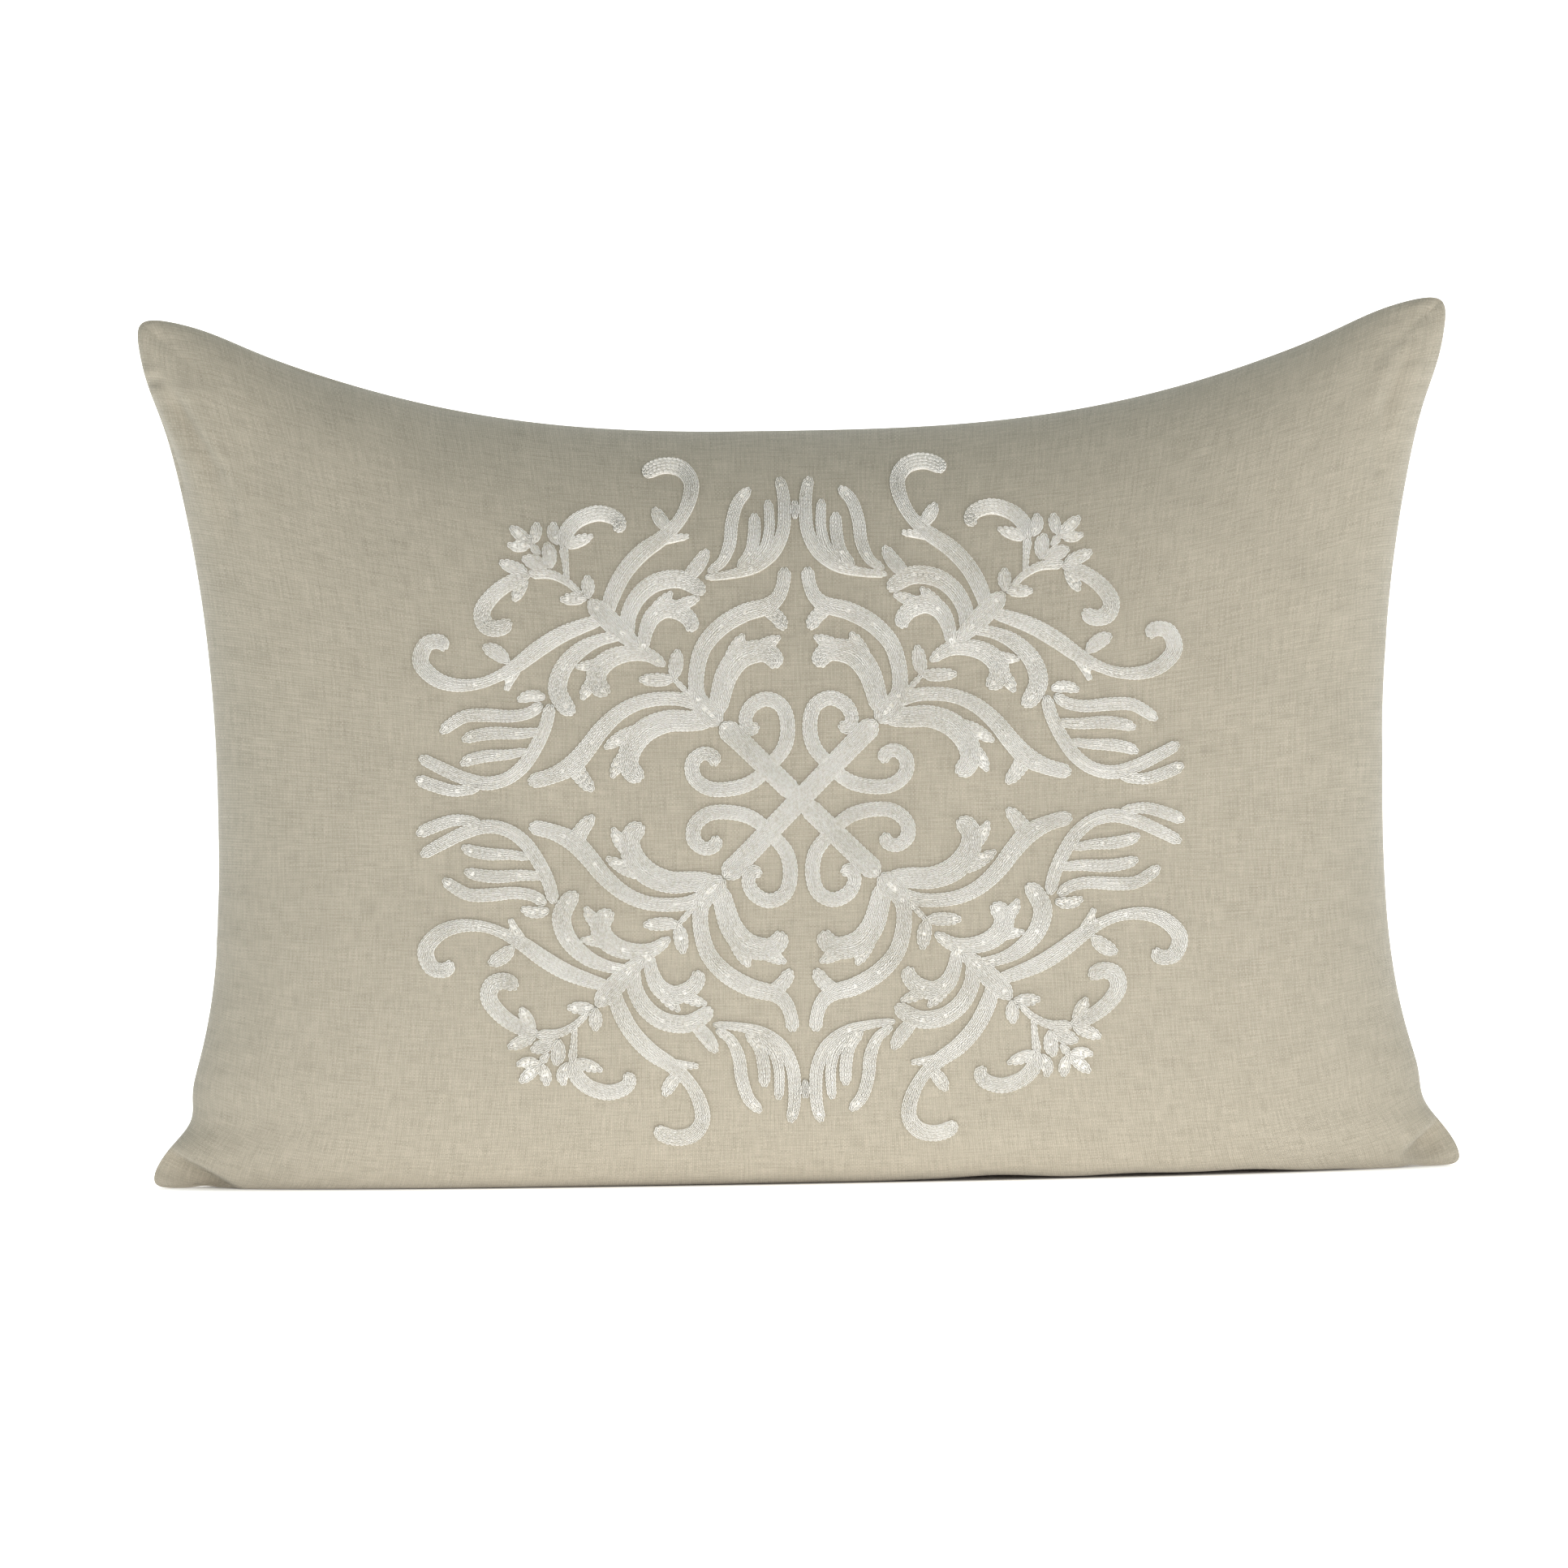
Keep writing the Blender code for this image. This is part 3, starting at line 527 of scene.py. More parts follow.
# One quarter of the medallion, in mm right and up from its middle: the points of each stroke with
# its width there. Later strokes stop where they meet earlier ones.
CROSS = (
    [(1.6, 1.6, 8.0), (12, 12, 8.0), (22, 22, 8.2), (29.0, 28.8, 8.8)],
)
DIAGONAL = [(-29.0, -28.8, 8.8), (-22, -22, 8.2), (-10, -10, 8.0), (10, 10, 8.0), (22, 22, 8.2),
    (29.0, 28.8, 8.8)]
HEARTS = (
    [(11, 13, 5.4), (5.6, 20, 5.8), (4.2, 28, 5.8), (6.2, 35.2, 5.8), (12, 38.2, 5.8), (17.8, 35.6, 5.8),
     (20.2, 30.5, 5.4), (18.2, 27.2, 5.6), (15.6, 28.2, 6.0)],
    [(13, 10.5, 5.4), (19.5, 6.2, 5.8), (27, 4.4, 5.8), (34.6, 4.8, 5.8), (40, 9, 5.8), (40.4, 14.8, 5.8),
     (36.4, 18.0, 5.4), (32.6, 16.6, 5.6), (32.4, 13.6, 6.0)],
)
SCROLLS = (
    [(29.8, 29.4, 8.6), (33.6, 33, 9.6), (37.2, 37, 7.6), (38.6, 42, 6.2), (38.2, 50, 6.2),
     (35.4, 58.6, 6.6), (28.6, 66, 7), (19.6, 71, 7), (11, 73.4, 6.4), (6.8, 77, 5.6), (4.8, 82.4, 5.2),
     (4.4, 87.4, 5.6)],
    [(12, 72.8, 6), (7.4, 69, 5.6), (4.8, 64.6, 5.2)],
    [(36.6, 36.4, 6), (44, 38.6, 5.4), (52, 39, 5.4), (60, 37.8, 5.6), (67.6, 34.2, 6), (74.6, 28, 6.6),
     (80.6, 20.4, 7.2), (86.4, 14.4, 7.6), (94, 10.6, 6.2), (102.5, 8.4, 6)],
    [(85.6, 14.4, 7), (82.4, 9.4, 6), (78.6, 5.0, 4.4)],
    [(30.8, 33, 7), (29.4, 40, 8), (26.8, 48, 8.8), (21.6, 54.4, 9.4), (14, 56.4, 8.6), (9.4, 54.0, 7.6),
     (8.6, 50, 7.8)],
    [(25.4, 52.6, 7), (22.8, 58.2, 5.8), (20.6, 62.6, 3.4)],
    [(14.4, 57.4, 6.6), (10.4, 59.6, 5.2), (6.8, 61.4, 3.0)],
    [(33, 30.6, 7), (41, 30.4, 8), (50, 30.4, 8.6), (58.6, 26.8, 9.2), (64, 19.8, 8.6), (64.4, 13, 7.6),
     (60, 8.6, 7.8)],
    [(59.6, 26.6, 7), (66.8, 24.8, 5.8), (73.4, 21.0, 3.4)],
    [(65.6, 18, 6.6), (69.0, 13.8, 5.2), (71, 9.8, 3.0)],
    [(40.4, 39.4, 2.2), (46.6, 46.0, 2.6)],
    [(47.0, 46.6, 3.8), (46.2, 51.5, 5.8), (45.4, 57.2, 4.0)],
    [(47.4, 46.2, 3.8), (53, 46.2, 5.4), (59.8, 46.4, 4.0)],
    [(60.6, 59.2, 4.6), (66.4, 64.2, 7), (71.4, 69.2, 8), (75.4, 73.2, 7.4), (78.4, 76.6, 4.6)],
    [(64, 63, 5.4), (64.0, 70, 6.2), (60.2, 77.6, 6.8), (53.6, 82.8, 7), (45, 84.2, 7), (38.8, 81.6, 6.4),
     (35.2, 78.6, 5.8)],
    [(41.4, 84.6, 5), (37, 89.4, 5.8), (33.6, 94.8, 4.0)],
    [(66.6, 63.4, 4.2), (75, 61.6, 4.8), (82.4, 58, 6.2), (88.8, 51.4, 7), (91.2, 43.6, 7.4),
     (88.8, 37.6, 7), (85.4, 34.0, 5.8)],
    [(58.6, 57.6, 4.6), (57.4, 64.4, 5.6), (54.6, 70.2, 6.8), (49.4, 73.2, 7.4), (43.6, 71.4, 6.8),
     (40.2, 67.8, 6.2), (40.6, 64.4, 6.4)],
    [(54, 71.6, 5.8), (50.8, 75.6, 4.8), (47.4, 79.0, 3.0)],
    [(45.6, 73.2, 5.4), (41.2, 75.4, 4.6), (37.2, 76.6, 3.0)],
    [(50.6, 51.8, 3.8), (57.0, 55.8, 5.6), (64, 56.4, 6.4), (70.8, 54.6, 7.4), (75.6, 50.4, 8),
     (76.2, 45.2, 7.6), (72.2, 41.2, 6.8)],
    [(75.6, 52.4, 5.4), (79.6, 52.0, 4.4), (83.6, 51.6, 2.8)],
    [(77.4, 46.4, 5.6), (80.2, 42.8, 4.8), (81.8, 39.6, 3.4)],
    [(72, 71, 5), (69.8, 78.4, 6.4), (65.2, 87, 6.6), (58.4, 94.4, 6.6), (50.6, 99.8, 5.8), (44.2, 106, 5),
     (40.2, 113.4, 5.6), (39.2, 120.6, 6), (42.8, 125.8, 6.2), (49, 127.2, 6), (54.4, 125.6, 6),
     (56.0, 122.8, 6.4)],
    [(51.0, 99.0, 4.2), (45.6, 99.8, 3.4), (40.4, 100.2, 2.2)],
    [(47.8, 103.0, 4), (51, 106.6, 5.4), (53.4, 110.8, 4.2)],
    [(74.4, 69.2, 4.6), (81, 67.2, 5.6), (89.6, 63.8, 6.4), (98, 58.8, 6.6), (106.2, 52.8, 5.8),
     (113.6, 48.6, 4.4), (121, 46.0, 4.4), (129.6, 45.6, 5.2), (137.4, 48.2, 6), (142.8, 54.4, 6.4),
     (140.8, 61.0, 6.2), (135.6, 62.2, 5.8), (133.4, 59.2, 6.2)],
    [(109.8, 54.0, 4.2), (114, 57.6, 6), (118.8, 60.0, 4.4)],
    [(106.4, 51.8, 5), (109, 47.8, 4.2), (110.6, 43.2, 2.2)],
    [(79.0, 77.8, 3.6), (79.0, 82, 5.4), (79.2, 85.8, 4.0)],
    [(80.0, 77.4, 3.6), (84.6, 77.4, 5.0), (89.2, 77.2, 3.8)],
    [(81.8, 79.0, 2.6), (86.6, 83.6, 3.0), (93, 86.8, 3.6), (101, 87.4, 4.6)],
    [(87.0, 84.4, 2.4), (87.4, 91, 2.8), (88.2, 97.4, 4.0)],
    [(88.4, 97.4, 5), (86.6, 103, 6), (82.0, 107.4, 6), (75, 109.6, 6), (69.0, 108.2, 5.8),
     (66.6, 105.4, 5.6), (67.8, 102.6, 5.6)],
    [(87.6, 98, 4.6), (82.4, 99.2, 5), (77.2, 101.0, 3.0)],
    [(90, 98.4, 3.8), (91.8, 102.4, 5), (91.6, 106.2, 3.8)],
    [(101.5, 86.8, 5), (108.2, 84.2, 5.8), (114.8, 79.6, 6.2), (119.2, 73.4, 6.6), (117.8, 68.0, 6.8),
     (112.8, 66.8, 6.4), (108.6, 69.2, 5.8)],
    [(102.4, 87.8, 4.6), (107.4, 89.8, 5.2), (112.0, 91.8, 3.8)],
    [(103, 86, 4.6), (105, 81.6, 5.4), (107, 77.2, 3.6)],
    [(93.2, 89.4, 4.2), (93.4, 94.6, 5.8), (94.4, 98.6, 4.2)],
    [(94.0, 89.6, 4.2), (98.8, 91.4, 5.8), (103.4, 93, 4.2)],
    [(97.4, 94.6, 3.2), (100.2, 98.2, 3.6)],
    [(99.8, 98.8, 3.6), (98.4, 102.6, 4.8), (98, 106.2, 3.8)],
    [(100.6, 98.8, 3.6), (104.2, 101.8, 4.8), (107.8, 104.8, 3.6)],
    [(100.8, 98.0, 3.6), (104.8, 97.8, 4.8), (108.8, 98.2, 3.6)],
)
PLUME_UP = (
    [(34, 84.6, 2.8), (25, 85.6, 3.6), (15.8, 88.0, 4.6), (8.6, 93.4, 5.2), (4.8, 101, 5.2),
     (4.0, 109, 5.0), (4.4, 116, 4.8), (5.8, 121.6, 4.2)],
    [(17.0, 89.4, 3.6), (11.8, 95.2, 4.4), (9.9, 101.6, 4.2), (9.8, 108, 4.0), (10.2, 113, 3.6)],
    [(21.6, 88.2, 3.6), (17.2, 93.8, 4.6), (15.6, 100.4, 5), (15.4, 108, 4.4)],
    [(33, 86.8, 3.2), (28, 90.4, 4.2), (25.0, 97, 5), (24.0, 105, 5), (21.6, 112.6, 4.8),
     (17.2, 117.6, 4.0)],
    [(0, 106.5, 3.0), (0, 112.5, 3.8)],
)
PLUME_ASIDE = (
    [(94, 37.4, 4.8), (95.8, 30, 5.2), (99.4, 22.2, 5.4), (104.4, 14.8, 5.4), (111, 9.8, 5.2),
     (119, 8.2, 5.4), (127.4, 10.4, 5.2), (136, 14.4, 5.0), (143.6, 18.4, 4.4)],
    [(122, 6.2, 3.6), (131, 5.6, 4.6), (139.4, 8.0, 5.0), (145, 10.4, 4.6)],
    [(98.6, 27.4, 3.6), (106, 26.8, 4.4), (115, 27.2, 5), (122.4, 26.4, 4.8), (127.2, 25.0, 4.0)],
    [(97.4, 37.6, 4.4), (102, 34.6, 4.6), (109, 33.4, 4.8), (118, 34.0, 5.2), (126, 33.8, 5.0),
     (131.8, 30.8, 4.8), (135.4, 28, 4.0)],
    [(103.4, 20.2, 3.2), (110, 19.0, 4.0), (118, 18.6, 4.8), (124.4, 17.4, 4.6), (128, 15.8, 3.8)],
    [(96.4, 40.4, 4.6), (101.4, 41.0, 4.6), (106.0, 39.6, 4.0)],
)


def curve_through(points, step=0.5):
    """A smooth line through the points, with its width, sampled every step mm."""
    p = np.array(points, float)
    if len(p) == 2:
        p = np.array([p[0], (p[0] + p[1]) / 2, p[1]])
    p = np.vstack([2 * p[0] - p[1], p, 2 * p[-1] - p[-2]])
    found = []
    for i in range(1, len(p) - 2):
        t = np.linspace(0, 1, 40, endpoint=False)[:, None]
        a, b, c, d = p[i - 1], p[i], p[i + 1], p[i + 2]
        found.append(
            0.5 * (2 * b + (c - a) * t + (2 * a - 5 * b + 4 * c - d) * t**2 + (3 * b - a - 3 * c + d) * t**3)
        )
    line = np.vstack([*found, p[-2][None]])
    run = np.concatenate([[0], np.cumsum(np.linalg.norm(np.diff(line[:, :2], axis=0), axis=1))])
    at = np.linspace(0, run[-1], max(3, int(run[-1] / step) + 1))
    return np.stack([np.interp(at, run, line[:, k]) for k in range(3)], axis=1), at


class Stroke:
    """A stroke of the medallion: its middle line, its width and the direction across it."""

    def __init__(self, points):
        line, self.run = curve_through(points)
        self.line, self.wide = line[:, :2], line[:, 2]
        along = np.gradient(self.line, axis=0)
        along /= np.maximum(np.linalg.norm(along, axis=1, keepdims=True), 1e-9)
        self.across = np.stack([-along[:, 1], along[:, 0]], axis=1)
        cap = np.minimum(self.run, self.run[-1] - self.run)
        half = self.wide / 2
        inside = np.clip(cap / half, 0, 1)
        self.half = half * np.sqrt(np.clip(1 - (1 - inside) ** 2, 0, 1))

    def covers(self, points):
        """True for each point that lies on the stroke."""
        near = np.zeros(len(points), bool)
        for start in range(0, len(self.line), 2):
            off = np.linalg.norm(points - self.line[start], axis=1)
            near |= off < self.half[start] - 0.2
        return near

    def rows(self):
        """The rows of stitches: runs of (x, y, row width) points, in mm. The outer rows follow the
        stroke's edge round its ends, and the inner ones fill what they leave."""
        most = int(self.half.max() / ROW + 0.5)
        found = []
        spare = 2 * self.half
        for k in range(most):
            off = self.half - (k + 0.5) * ROW
            on = off > 0.30 * ROW
            for way in (-1, 1):
                points = self.line + self.across * (way * off)[:, None]
                found += runs_of(on, np.column_stack([points, np.full(len(off), ROW)]))
            spare = np.where(on, 2 * (self.half - (k + 1) * ROW), spare)
        middle = np.clip(spare, 0.72 * ROW, 1.6 * ROW)
        return found + runs_of(spare > 0.30 * ROW, np.column_stack([self.line, middle]))


def runs_of(on, points, least=3):
    """The stretches of points where on holds, each at least so many points long."""
    edges = np.flatnonzero(np.diff(np.concatenate([[0], on.astype(int), [0]])))
    return [points[a:b] for a, b in zip(edges[::2], edges[1::2]) if b - a >= least]


def pieces_of(runs, blockers):
    """Runs of rows with what lies on an earlier stroke left out."""
    found = []
    for run in runs:
        free = np.ones(len(run), bool)
        for stroke in blockers:
            free &= ~stroke.covers(run[:, :2])
        found += runs_of(free, run)
    return found


class Surface:
    """The front's outer face, to lay stitching on."""

    def __init__(self, points):
        rows, columns = points.shape[:2]
        self.normals = normals_of(points).reshape(-1, 3)
        self.faces = grid_faces(rows, columns)
        flat = points.reshape(-1, 3)
        self.tree = BVHTree.FromPolygons([Vector(p) for p in flat], [list(map(int, f)) for f in self.faces])

    def lay(self, across, up, rise):
        """A point of the medallion on the linen, rise metres above it, and the normal there."""
        target = Vector((MIDDLE[0] + across * MM, 0.0, MIDDLE[1] + up * MM))
        hit, _, face, _ = self.tree.ray_cast(EYE, (target - EYE).normalized())
        normal = self.normals[self.faces[face]].mean(0)
        normal /= np.linalg.norm(normal)
        return np.array(hit) + normal * rise, normal


LINEN_FACE = Surface(front_points)


def stitch_shape():
    """One chain stitch, 1 long, 1 wide and 1 high, its thread looped round towards +X."""
    loop = [
        (-0.60, 0.0, 0.30), (-0.30, 0.19, 0.55), (0.10, 0.28, 0.72), (0.42, 0.20, 0.78),
        (0.56, 0.0, 0.70), (0.42, -0.20, 0.78), (0.10, -0.28, 0.72), (-0.30, -0.19, 0.55),
    ]
    path = np.array(loop)
    ahead = np.roll(path, -1, axis=0) - np.roll(path, 1, axis=0)
    ahead[:, 2] = 0
    ahead /= np.linalg.norm(ahead, axis=1, keepdims=True)
    out = np.stack([ahead[:, 1], -ahead[:, 0], np.zeros(len(path))], axis=1)
    wide, high = 0.22, 0.34
    rings = []
    for turn in (90, 210, 330):
        c, s = math.cos(math.radians(turn)), math.sin(math.radians(turn))
        rings.append(path + out * np.array([wide * 0.62, wide, 0]) * c + np.array([0, 0, 1.0]) * s * high)
    points = np.stack(rings, axis=1).reshape(-1, 3)
    count = len(path)
    faces = []
    for i in range(count):
        j = (i + 1) % count
        for k in range(3):
            m = (k + 1) % 3
            faces.append((3 * j + k, 3 * j + m, 3 * i + m, 3 * i + k))
    made = mesh_object("chain_stitch", points, faces, None)
    return made


def stitch_tree():
    """Geometry nodes: a chain stitch every stitch length along each row, turned to the cloth."""
    tree = bpy.data.node_groups.new("chain_stitch_rows", "GeometryNodeTree")
    face = tree.interface
    face.new_socket("Geometry", in_out="INPUT", socket_type="NodeSocketGeometry")
    names = {}
    for label, kind in (
        ("Stitch", "NodeSocketObject"),
        ("Stitch Length", "NodeSocketFloat"),
        ("Stitch Height", "NodeSocketFloat"),
        ("Seed", "NodeSocketInt"),
        ("Thread", "NodeSocketMaterial"),
    ):
        names[label] = face.new_socket(label, in_out="INPUT", socket_type=kind).identifier
    face.new_socket("Geometry", in_out="OUTPUT", socket_type="NodeSocketGeometry")
    start = add(tree, "NodeGroupInput").outputs
    rows = add(tree, "GeometryNodeMeshToCurve", [(0, start["Geometry"])]).outputs[0]
    even = add(tree, "GeometryNodeResampleCurve", [("Curve", rows), ("Length", start["Stitch Length"])],
        mode="LENGTH").outputs[0]
    facing = add(tree, "GeometryNodeInputNamedAttribute", [("Name", "facing")],
        data_type="FLOAT_VECTOR").outputs[0]
    wide = add(tree, "GeometryNodeInputNamedAttribute", [("Name", "row_width")],
        data_type="FLOAT").outputs[0]
    along = add(tree, "GeometryNodeInputTangent").outputs[0]
    turn = add(tree, "FunctionNodeAxesToRotation", [(0, facing), (1, along)], primary_axis="Z",
        secondary_axis="X").outputs[0]
    uneven = add(tree, "FunctionNodeRandomValue", [(2, 0.9), (3, 1.1), ("Seed", start["Seed"])],
        data_type="FLOAT").outputs[1]
    high = add(tree, "ShaderNodeMath", [(0, start["Stitch Height"]), (1, uneven)],
        operation="MULTIPLY").outputs[0]
    size = add(tree, "ShaderNodeCombineXYZ", [(0, start["Stitch Length"]), (1, wide), (2, high)]).outputs[0]
    stitch = add(tree, "GeometryNodeObjectInfo", [("Object", start["Stitch"])]).outputs["Geometry"]
    laid = add(
        tree, "GeometryNodeInstanceOnPoints", [("Points", even), ("Instance", stitch), ("Rotation", turn),
         ("Scale", size)]
    ).outputs[0]
    real = add(tree, "GeometryNodeRealizeInstances", [(0, laid)]).outputs[0]
    done = add(tree, "GeometryNodeSetMaterial", [("Geometry", real),
        ("Material", start["Thread"])]).outputs[0]
    add(tree, "NodeGroupOutput", [(0, done)])
    return tree, names


STITCH_TREE, STITCH_SOCKETS = stitch_tree()
STITCH = stitch_shape()


def run_tree(obj, tree, values):
    """The object's mesh after a node tree, with the modifier gone."""
    modifier = obj.modifiers.new("pattern", "NODES")
    modifier.node_group = tree
    for socket, value in values.items():
        modifier[socket] = value
    return apply_modifiers(obj)


def padding(stroke, quarter, level):
    """The raised padding under one stroke: a low crowned ribbon with a skirt down to the linen."""
    pick = np.unique(np.concatenate([np.arange(0, len(stroke.line), 3), [len(stroke.line) - 1]]))
    shares = (-1.0, -0.93, -0.5, 0.0, 0.5, 0.93, 1.0)
    rises = (-0.10, 0.62, 0.95, 1.0, 0.95, 0.62, -0.10)
    points = []
    for i in pick:
        half = max(stroke.half[i] - 0.25, 0.1)
        for share, rise in zip(shares, rises):
            a, b = stroke.line[i] + stroke.across[i] * half * share
            spot, _ = LINEN_FACE.lay(a * quarter[0], b * quarter[1], (PAD_RISE * rise + 0.012 * level) * MM)
            points.append(spot)
    turned = quarter[0] * quarter[1] < 0
    faces = grid_faces(len(pick), len(shares), not turned)
    return np.array(points), faces


def stitched(name, cad_node, plans, seed):
    """Rows of chain stitch over padding: for each quarter the strokes that are mirrored into it, and
    the strokes already there, which stop them."""
    line_points, facings, widths, edges = [], [], [], []
    pad_points, pad_faces = [], []
    for quarter, strokes, there in plans:
        blockers = list(there)
        for level, stroke in enumerate(strokes):
            for run in pieces_of(stroke.rows(), blockers):
                first = len(line_points)
                for a, b, wide in run[:-1:2].tolist() + run[-1:].tolist():
                    spot, normal = LINEN_FACE.lay(a * quarter[0], b * quarter[1], 0.22 * MM)
                    line_points.append(spot)
                    facings.append(normal)
                    widths.append(wide * MM * 1.06)
                edges += [(i, i + 1) for i in range(first, len(line_points) - 1)]
            blockers.append(stroke)
            points, faces = padding(stroke, quarter, level % 7)
            pad_faces.append(faces + sum(len(p) for p in pad_points))
            pad_points.append(points)
    rows = sewn(name, line_points, edges, facings, widths, STITCH, LINK * MM, STITCH_RISE * MM, seed, IVORY)
    pads = mesh_object("padding", np.vstack(pad_points), np.vstack(pad_faces), IVORY)
    joined([rows, pads])
    rows.data.shade_smooth()
    return settle(rows, "ivory_chain_stitch", cad_node)


def sewn(name, points, edges, facings, widths, shape, length, height, seed, thread):
    """Copies of one shape along rows of points, through the node tree."""
    mesh = bpy.data.meshes.new(name)
    mesh.from_pydata([tuple(p) for p in points], edges, [])
    for label, kind, values in (("facing", "FLOAT_VECTOR", facings), ("row_width", "FLOAT", widths)):
        layer = mesh.attributes.new(label, kind, "POINT")
        layer.data.foreach_set("vector" if kind == "FLOAT_VECTOR" else "value",
            np.array(values, np.float32).ravel())
    rows = bpy.data.objects.new(name, mesh)
    bpy.context.scene.collection.objects.link(rows)
    values = {"Stitch": shape, "Stitch Length": length, "Stitch Height": height, "Seed": seed,
        "Thread": thread}
    return run_tree(rows, STITCH_TREE, {STITCH_SOCKETS[label]: value for label, value in values.items()})


def joined(objects):
    """Objects made one, under the first one's name."""
    for obj in bpy.context.selected_objects:
        obj.select_set(False)
    for obj in objects:
        obj.select_set(True)
    bpy.context.view_layer.objects.active = objects[0]
    bpy.ops.object.join()
    return objects[0]


QUARTERS = {"upper_left": (-1, 1), "upper_right": (1, 1), "lower_left": (-1, -1), "lower_right": (1, -1)}


def embroidery():
    scrolls = [Stroke(points) for points in SCROLLS]
    hearts = [Stroke(points) for points in HEARTS]
    short = [Stroke(points) for points in CROSS]
    diagonal = Stroke(DIAGONAL)
    crossing = Stroke([(a, -b, wide) for a, b, wide in DIAGONAL])
    plans = [((1, 1), [diagonal, *hearts], []), ((-1, -1), hearts, [diagonal])]
    plans += [(quarter, short + hearts, [crossing]) for quarter in ((-1, 1), (1, -1))]
    stitched("stitched_centre_cross", "embroidery_centre_cross", plans, 3)
    for seed, (place, quarter) in enumerate(QUARTERS.items(), 11):
        stitched(f"stitched_scrolls_{place}", f"embroidery_scrolls_{place}", [(quarter, scrolls, short)],
            seed)
    up = [Stroke(p) for p in PLUME_UP]
    aside = [Stroke(p) for p in PLUME_ASIDE]
    for seed, place, strokes, quarters in (
        (21, "top", up, [(-1, 1), (1, 1)]),
        (22, "bottom", up, [(-1, -1), (1, -1)]),
        (23, "left", aside, [(-1, 1), (-1, -1)]),
        (24, "right", aside, [(1, 1), (1, -1)]),
    ):
        plans = [(quarter, strokes, []) for quarter in quarters]
        stitched(f"stitched_plumes_{place}", f"embroidery_plumes_{place}", plans, seed)
    bpy.data.objects.remove(STITCH, do_unlink=True)


embroidery()

# ---------------------------------------------------------------- zip and seams' stitching

SLIDER_BOX = corners_of(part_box("zip_slider"))
TAB_BOX = corners_of(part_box("zip_pull_tab"))
TAPE_EDGE, TAPE_WIDE, TAPE_WALL = 0.0012, 0.012, 0.0006


def turned_shape(name, path, thin, sides=6, closed=False):
    """A round thread along a path of unit size, its thickness (x, y, z) in the same unit."""
    path = np.array(path, float)
    if closed:
        ahead = np.roll(path, -1, axis=0) - np.roll(path, 1, axis=0)
    else:
        ahead = np.gradient(path, axis=0)
    ahead /= np.linalg.norm(ahead, axis=1, keepdims=True)
    beside = np.cross(ahead, np.array([1.0, 0.0, 0.0]) if closed else np.array([0.0, 0.0, 1.0]))
    beside /= np.linalg.norm(beside, axis=1, keepdims=True)
    over = np.cross(beside, ahead)
    rings = []
    for k in range(sides):
        angle = 2 * math.pi * k / sides
        rings.append(path + (beside * math.cos(angle) + over * math.sin(angle)) * np.array(thin))
    points = np.stack(rings, axis=1)
    count = len(path)
    faces = []
    for i in range(count if closed else count - 1):
        for k in range(sides):
            j, m = (i + 1) % count, (k + 1) % sides
            faces.append((i * sides + k, i * sides + m, j * sides + m, j * sides + k))
    if not closed:
        faces += [tuple(range(sides))[::-1], tuple((count - 1) * sides + k for k in range(sides))]
    return mesh_object(name, points.reshape(-1, 3), faces, None)


def bead_shape():
    """A short stitch of plain thread, 1 long, 1 wide and 1 high."""
    t = np.linspace(-1, 1, 7)
    made = turned_shape("plain_stitch", np.stack([t * 0.46, 0 * t, 0.30 * (1 - t**2)], axis=1),
        (0.46, 0.46, 0.46))
    for vertex in made.data.vertices:
        swell = max(0.12, (1 - (vertex.co.x / 0.5) ** 2)) ** 0.5
        vertex.co.y *= swell
    return made


def coil_shape():
    """One turn of the nylon coil, 1 along the zip, 1 across it and 1 high."""
    t = np.linspace(0, 2 * math.pi, 14, endpoint=False)
    path = np.stack([0.22 * np.sin(t), 0.36 * np.cos(t), 0.34 * np.sin(t)], axis=1)
    return turned_shape("coil_turn", path, (0.34, 0.14, 0.16), closed=True)


def row_on(points, facing, wide):
    """A row of points joined by edges, all facing one way."""
    count = len(points)
    return points, [(i, i + 1) for i in range(count - 1)], [facing] * count, [wide] * count


def straight(start, end, count=2):
    return [tuple(a + (b - a) * i / (count - 1) for a, b in zip(start, end)) for i in range(count)]


def block(low, high, round_by, material):
    """A metal block with rounded edges."""
    corners = [(x, y, z) for x in (low[0], high[0]) for y in (low[1], high[1]) for z in (low[2], high[2])]
    faces = [(0, 1, 3, 2), (4, 6, 7, 5), (0, 4, 5, 1), (2, 3, 7, 6), (0, 2, 6, 4), (1, 5, 7, 3)]
    made = mesh_object("block", corners, faces, material)
    edge = made.modifiers.new("edge", "BEVEL")
    edge.width = round_by
    edge.segments = 3
    return apply_modifiers(made)


TAPE_ROWS = 9
TAPE_COLUMNS = 120
TAPE_SHARE = 0.91  # of the slit's half length that the tape reaches
TOPSTITCH_OUT = 0.007  # middle of the zip to the topstitching
COIL_END = 0.0006
COIL_PITCH = 0.00105
PLATE_THICK = 0.0011
PLATE_HALF = 0.0035  # half width of the slider's inner plate
FOOT_HALF = 0.0026  # half width of its outer plate
FOOT_RISE = 0.0026  # outer plate above the lowest point of the bridge
EDGE_ROUND = 0.0004
BRIDGE_REACH = 0.0032
BRIDGE_DROP = 0.0026


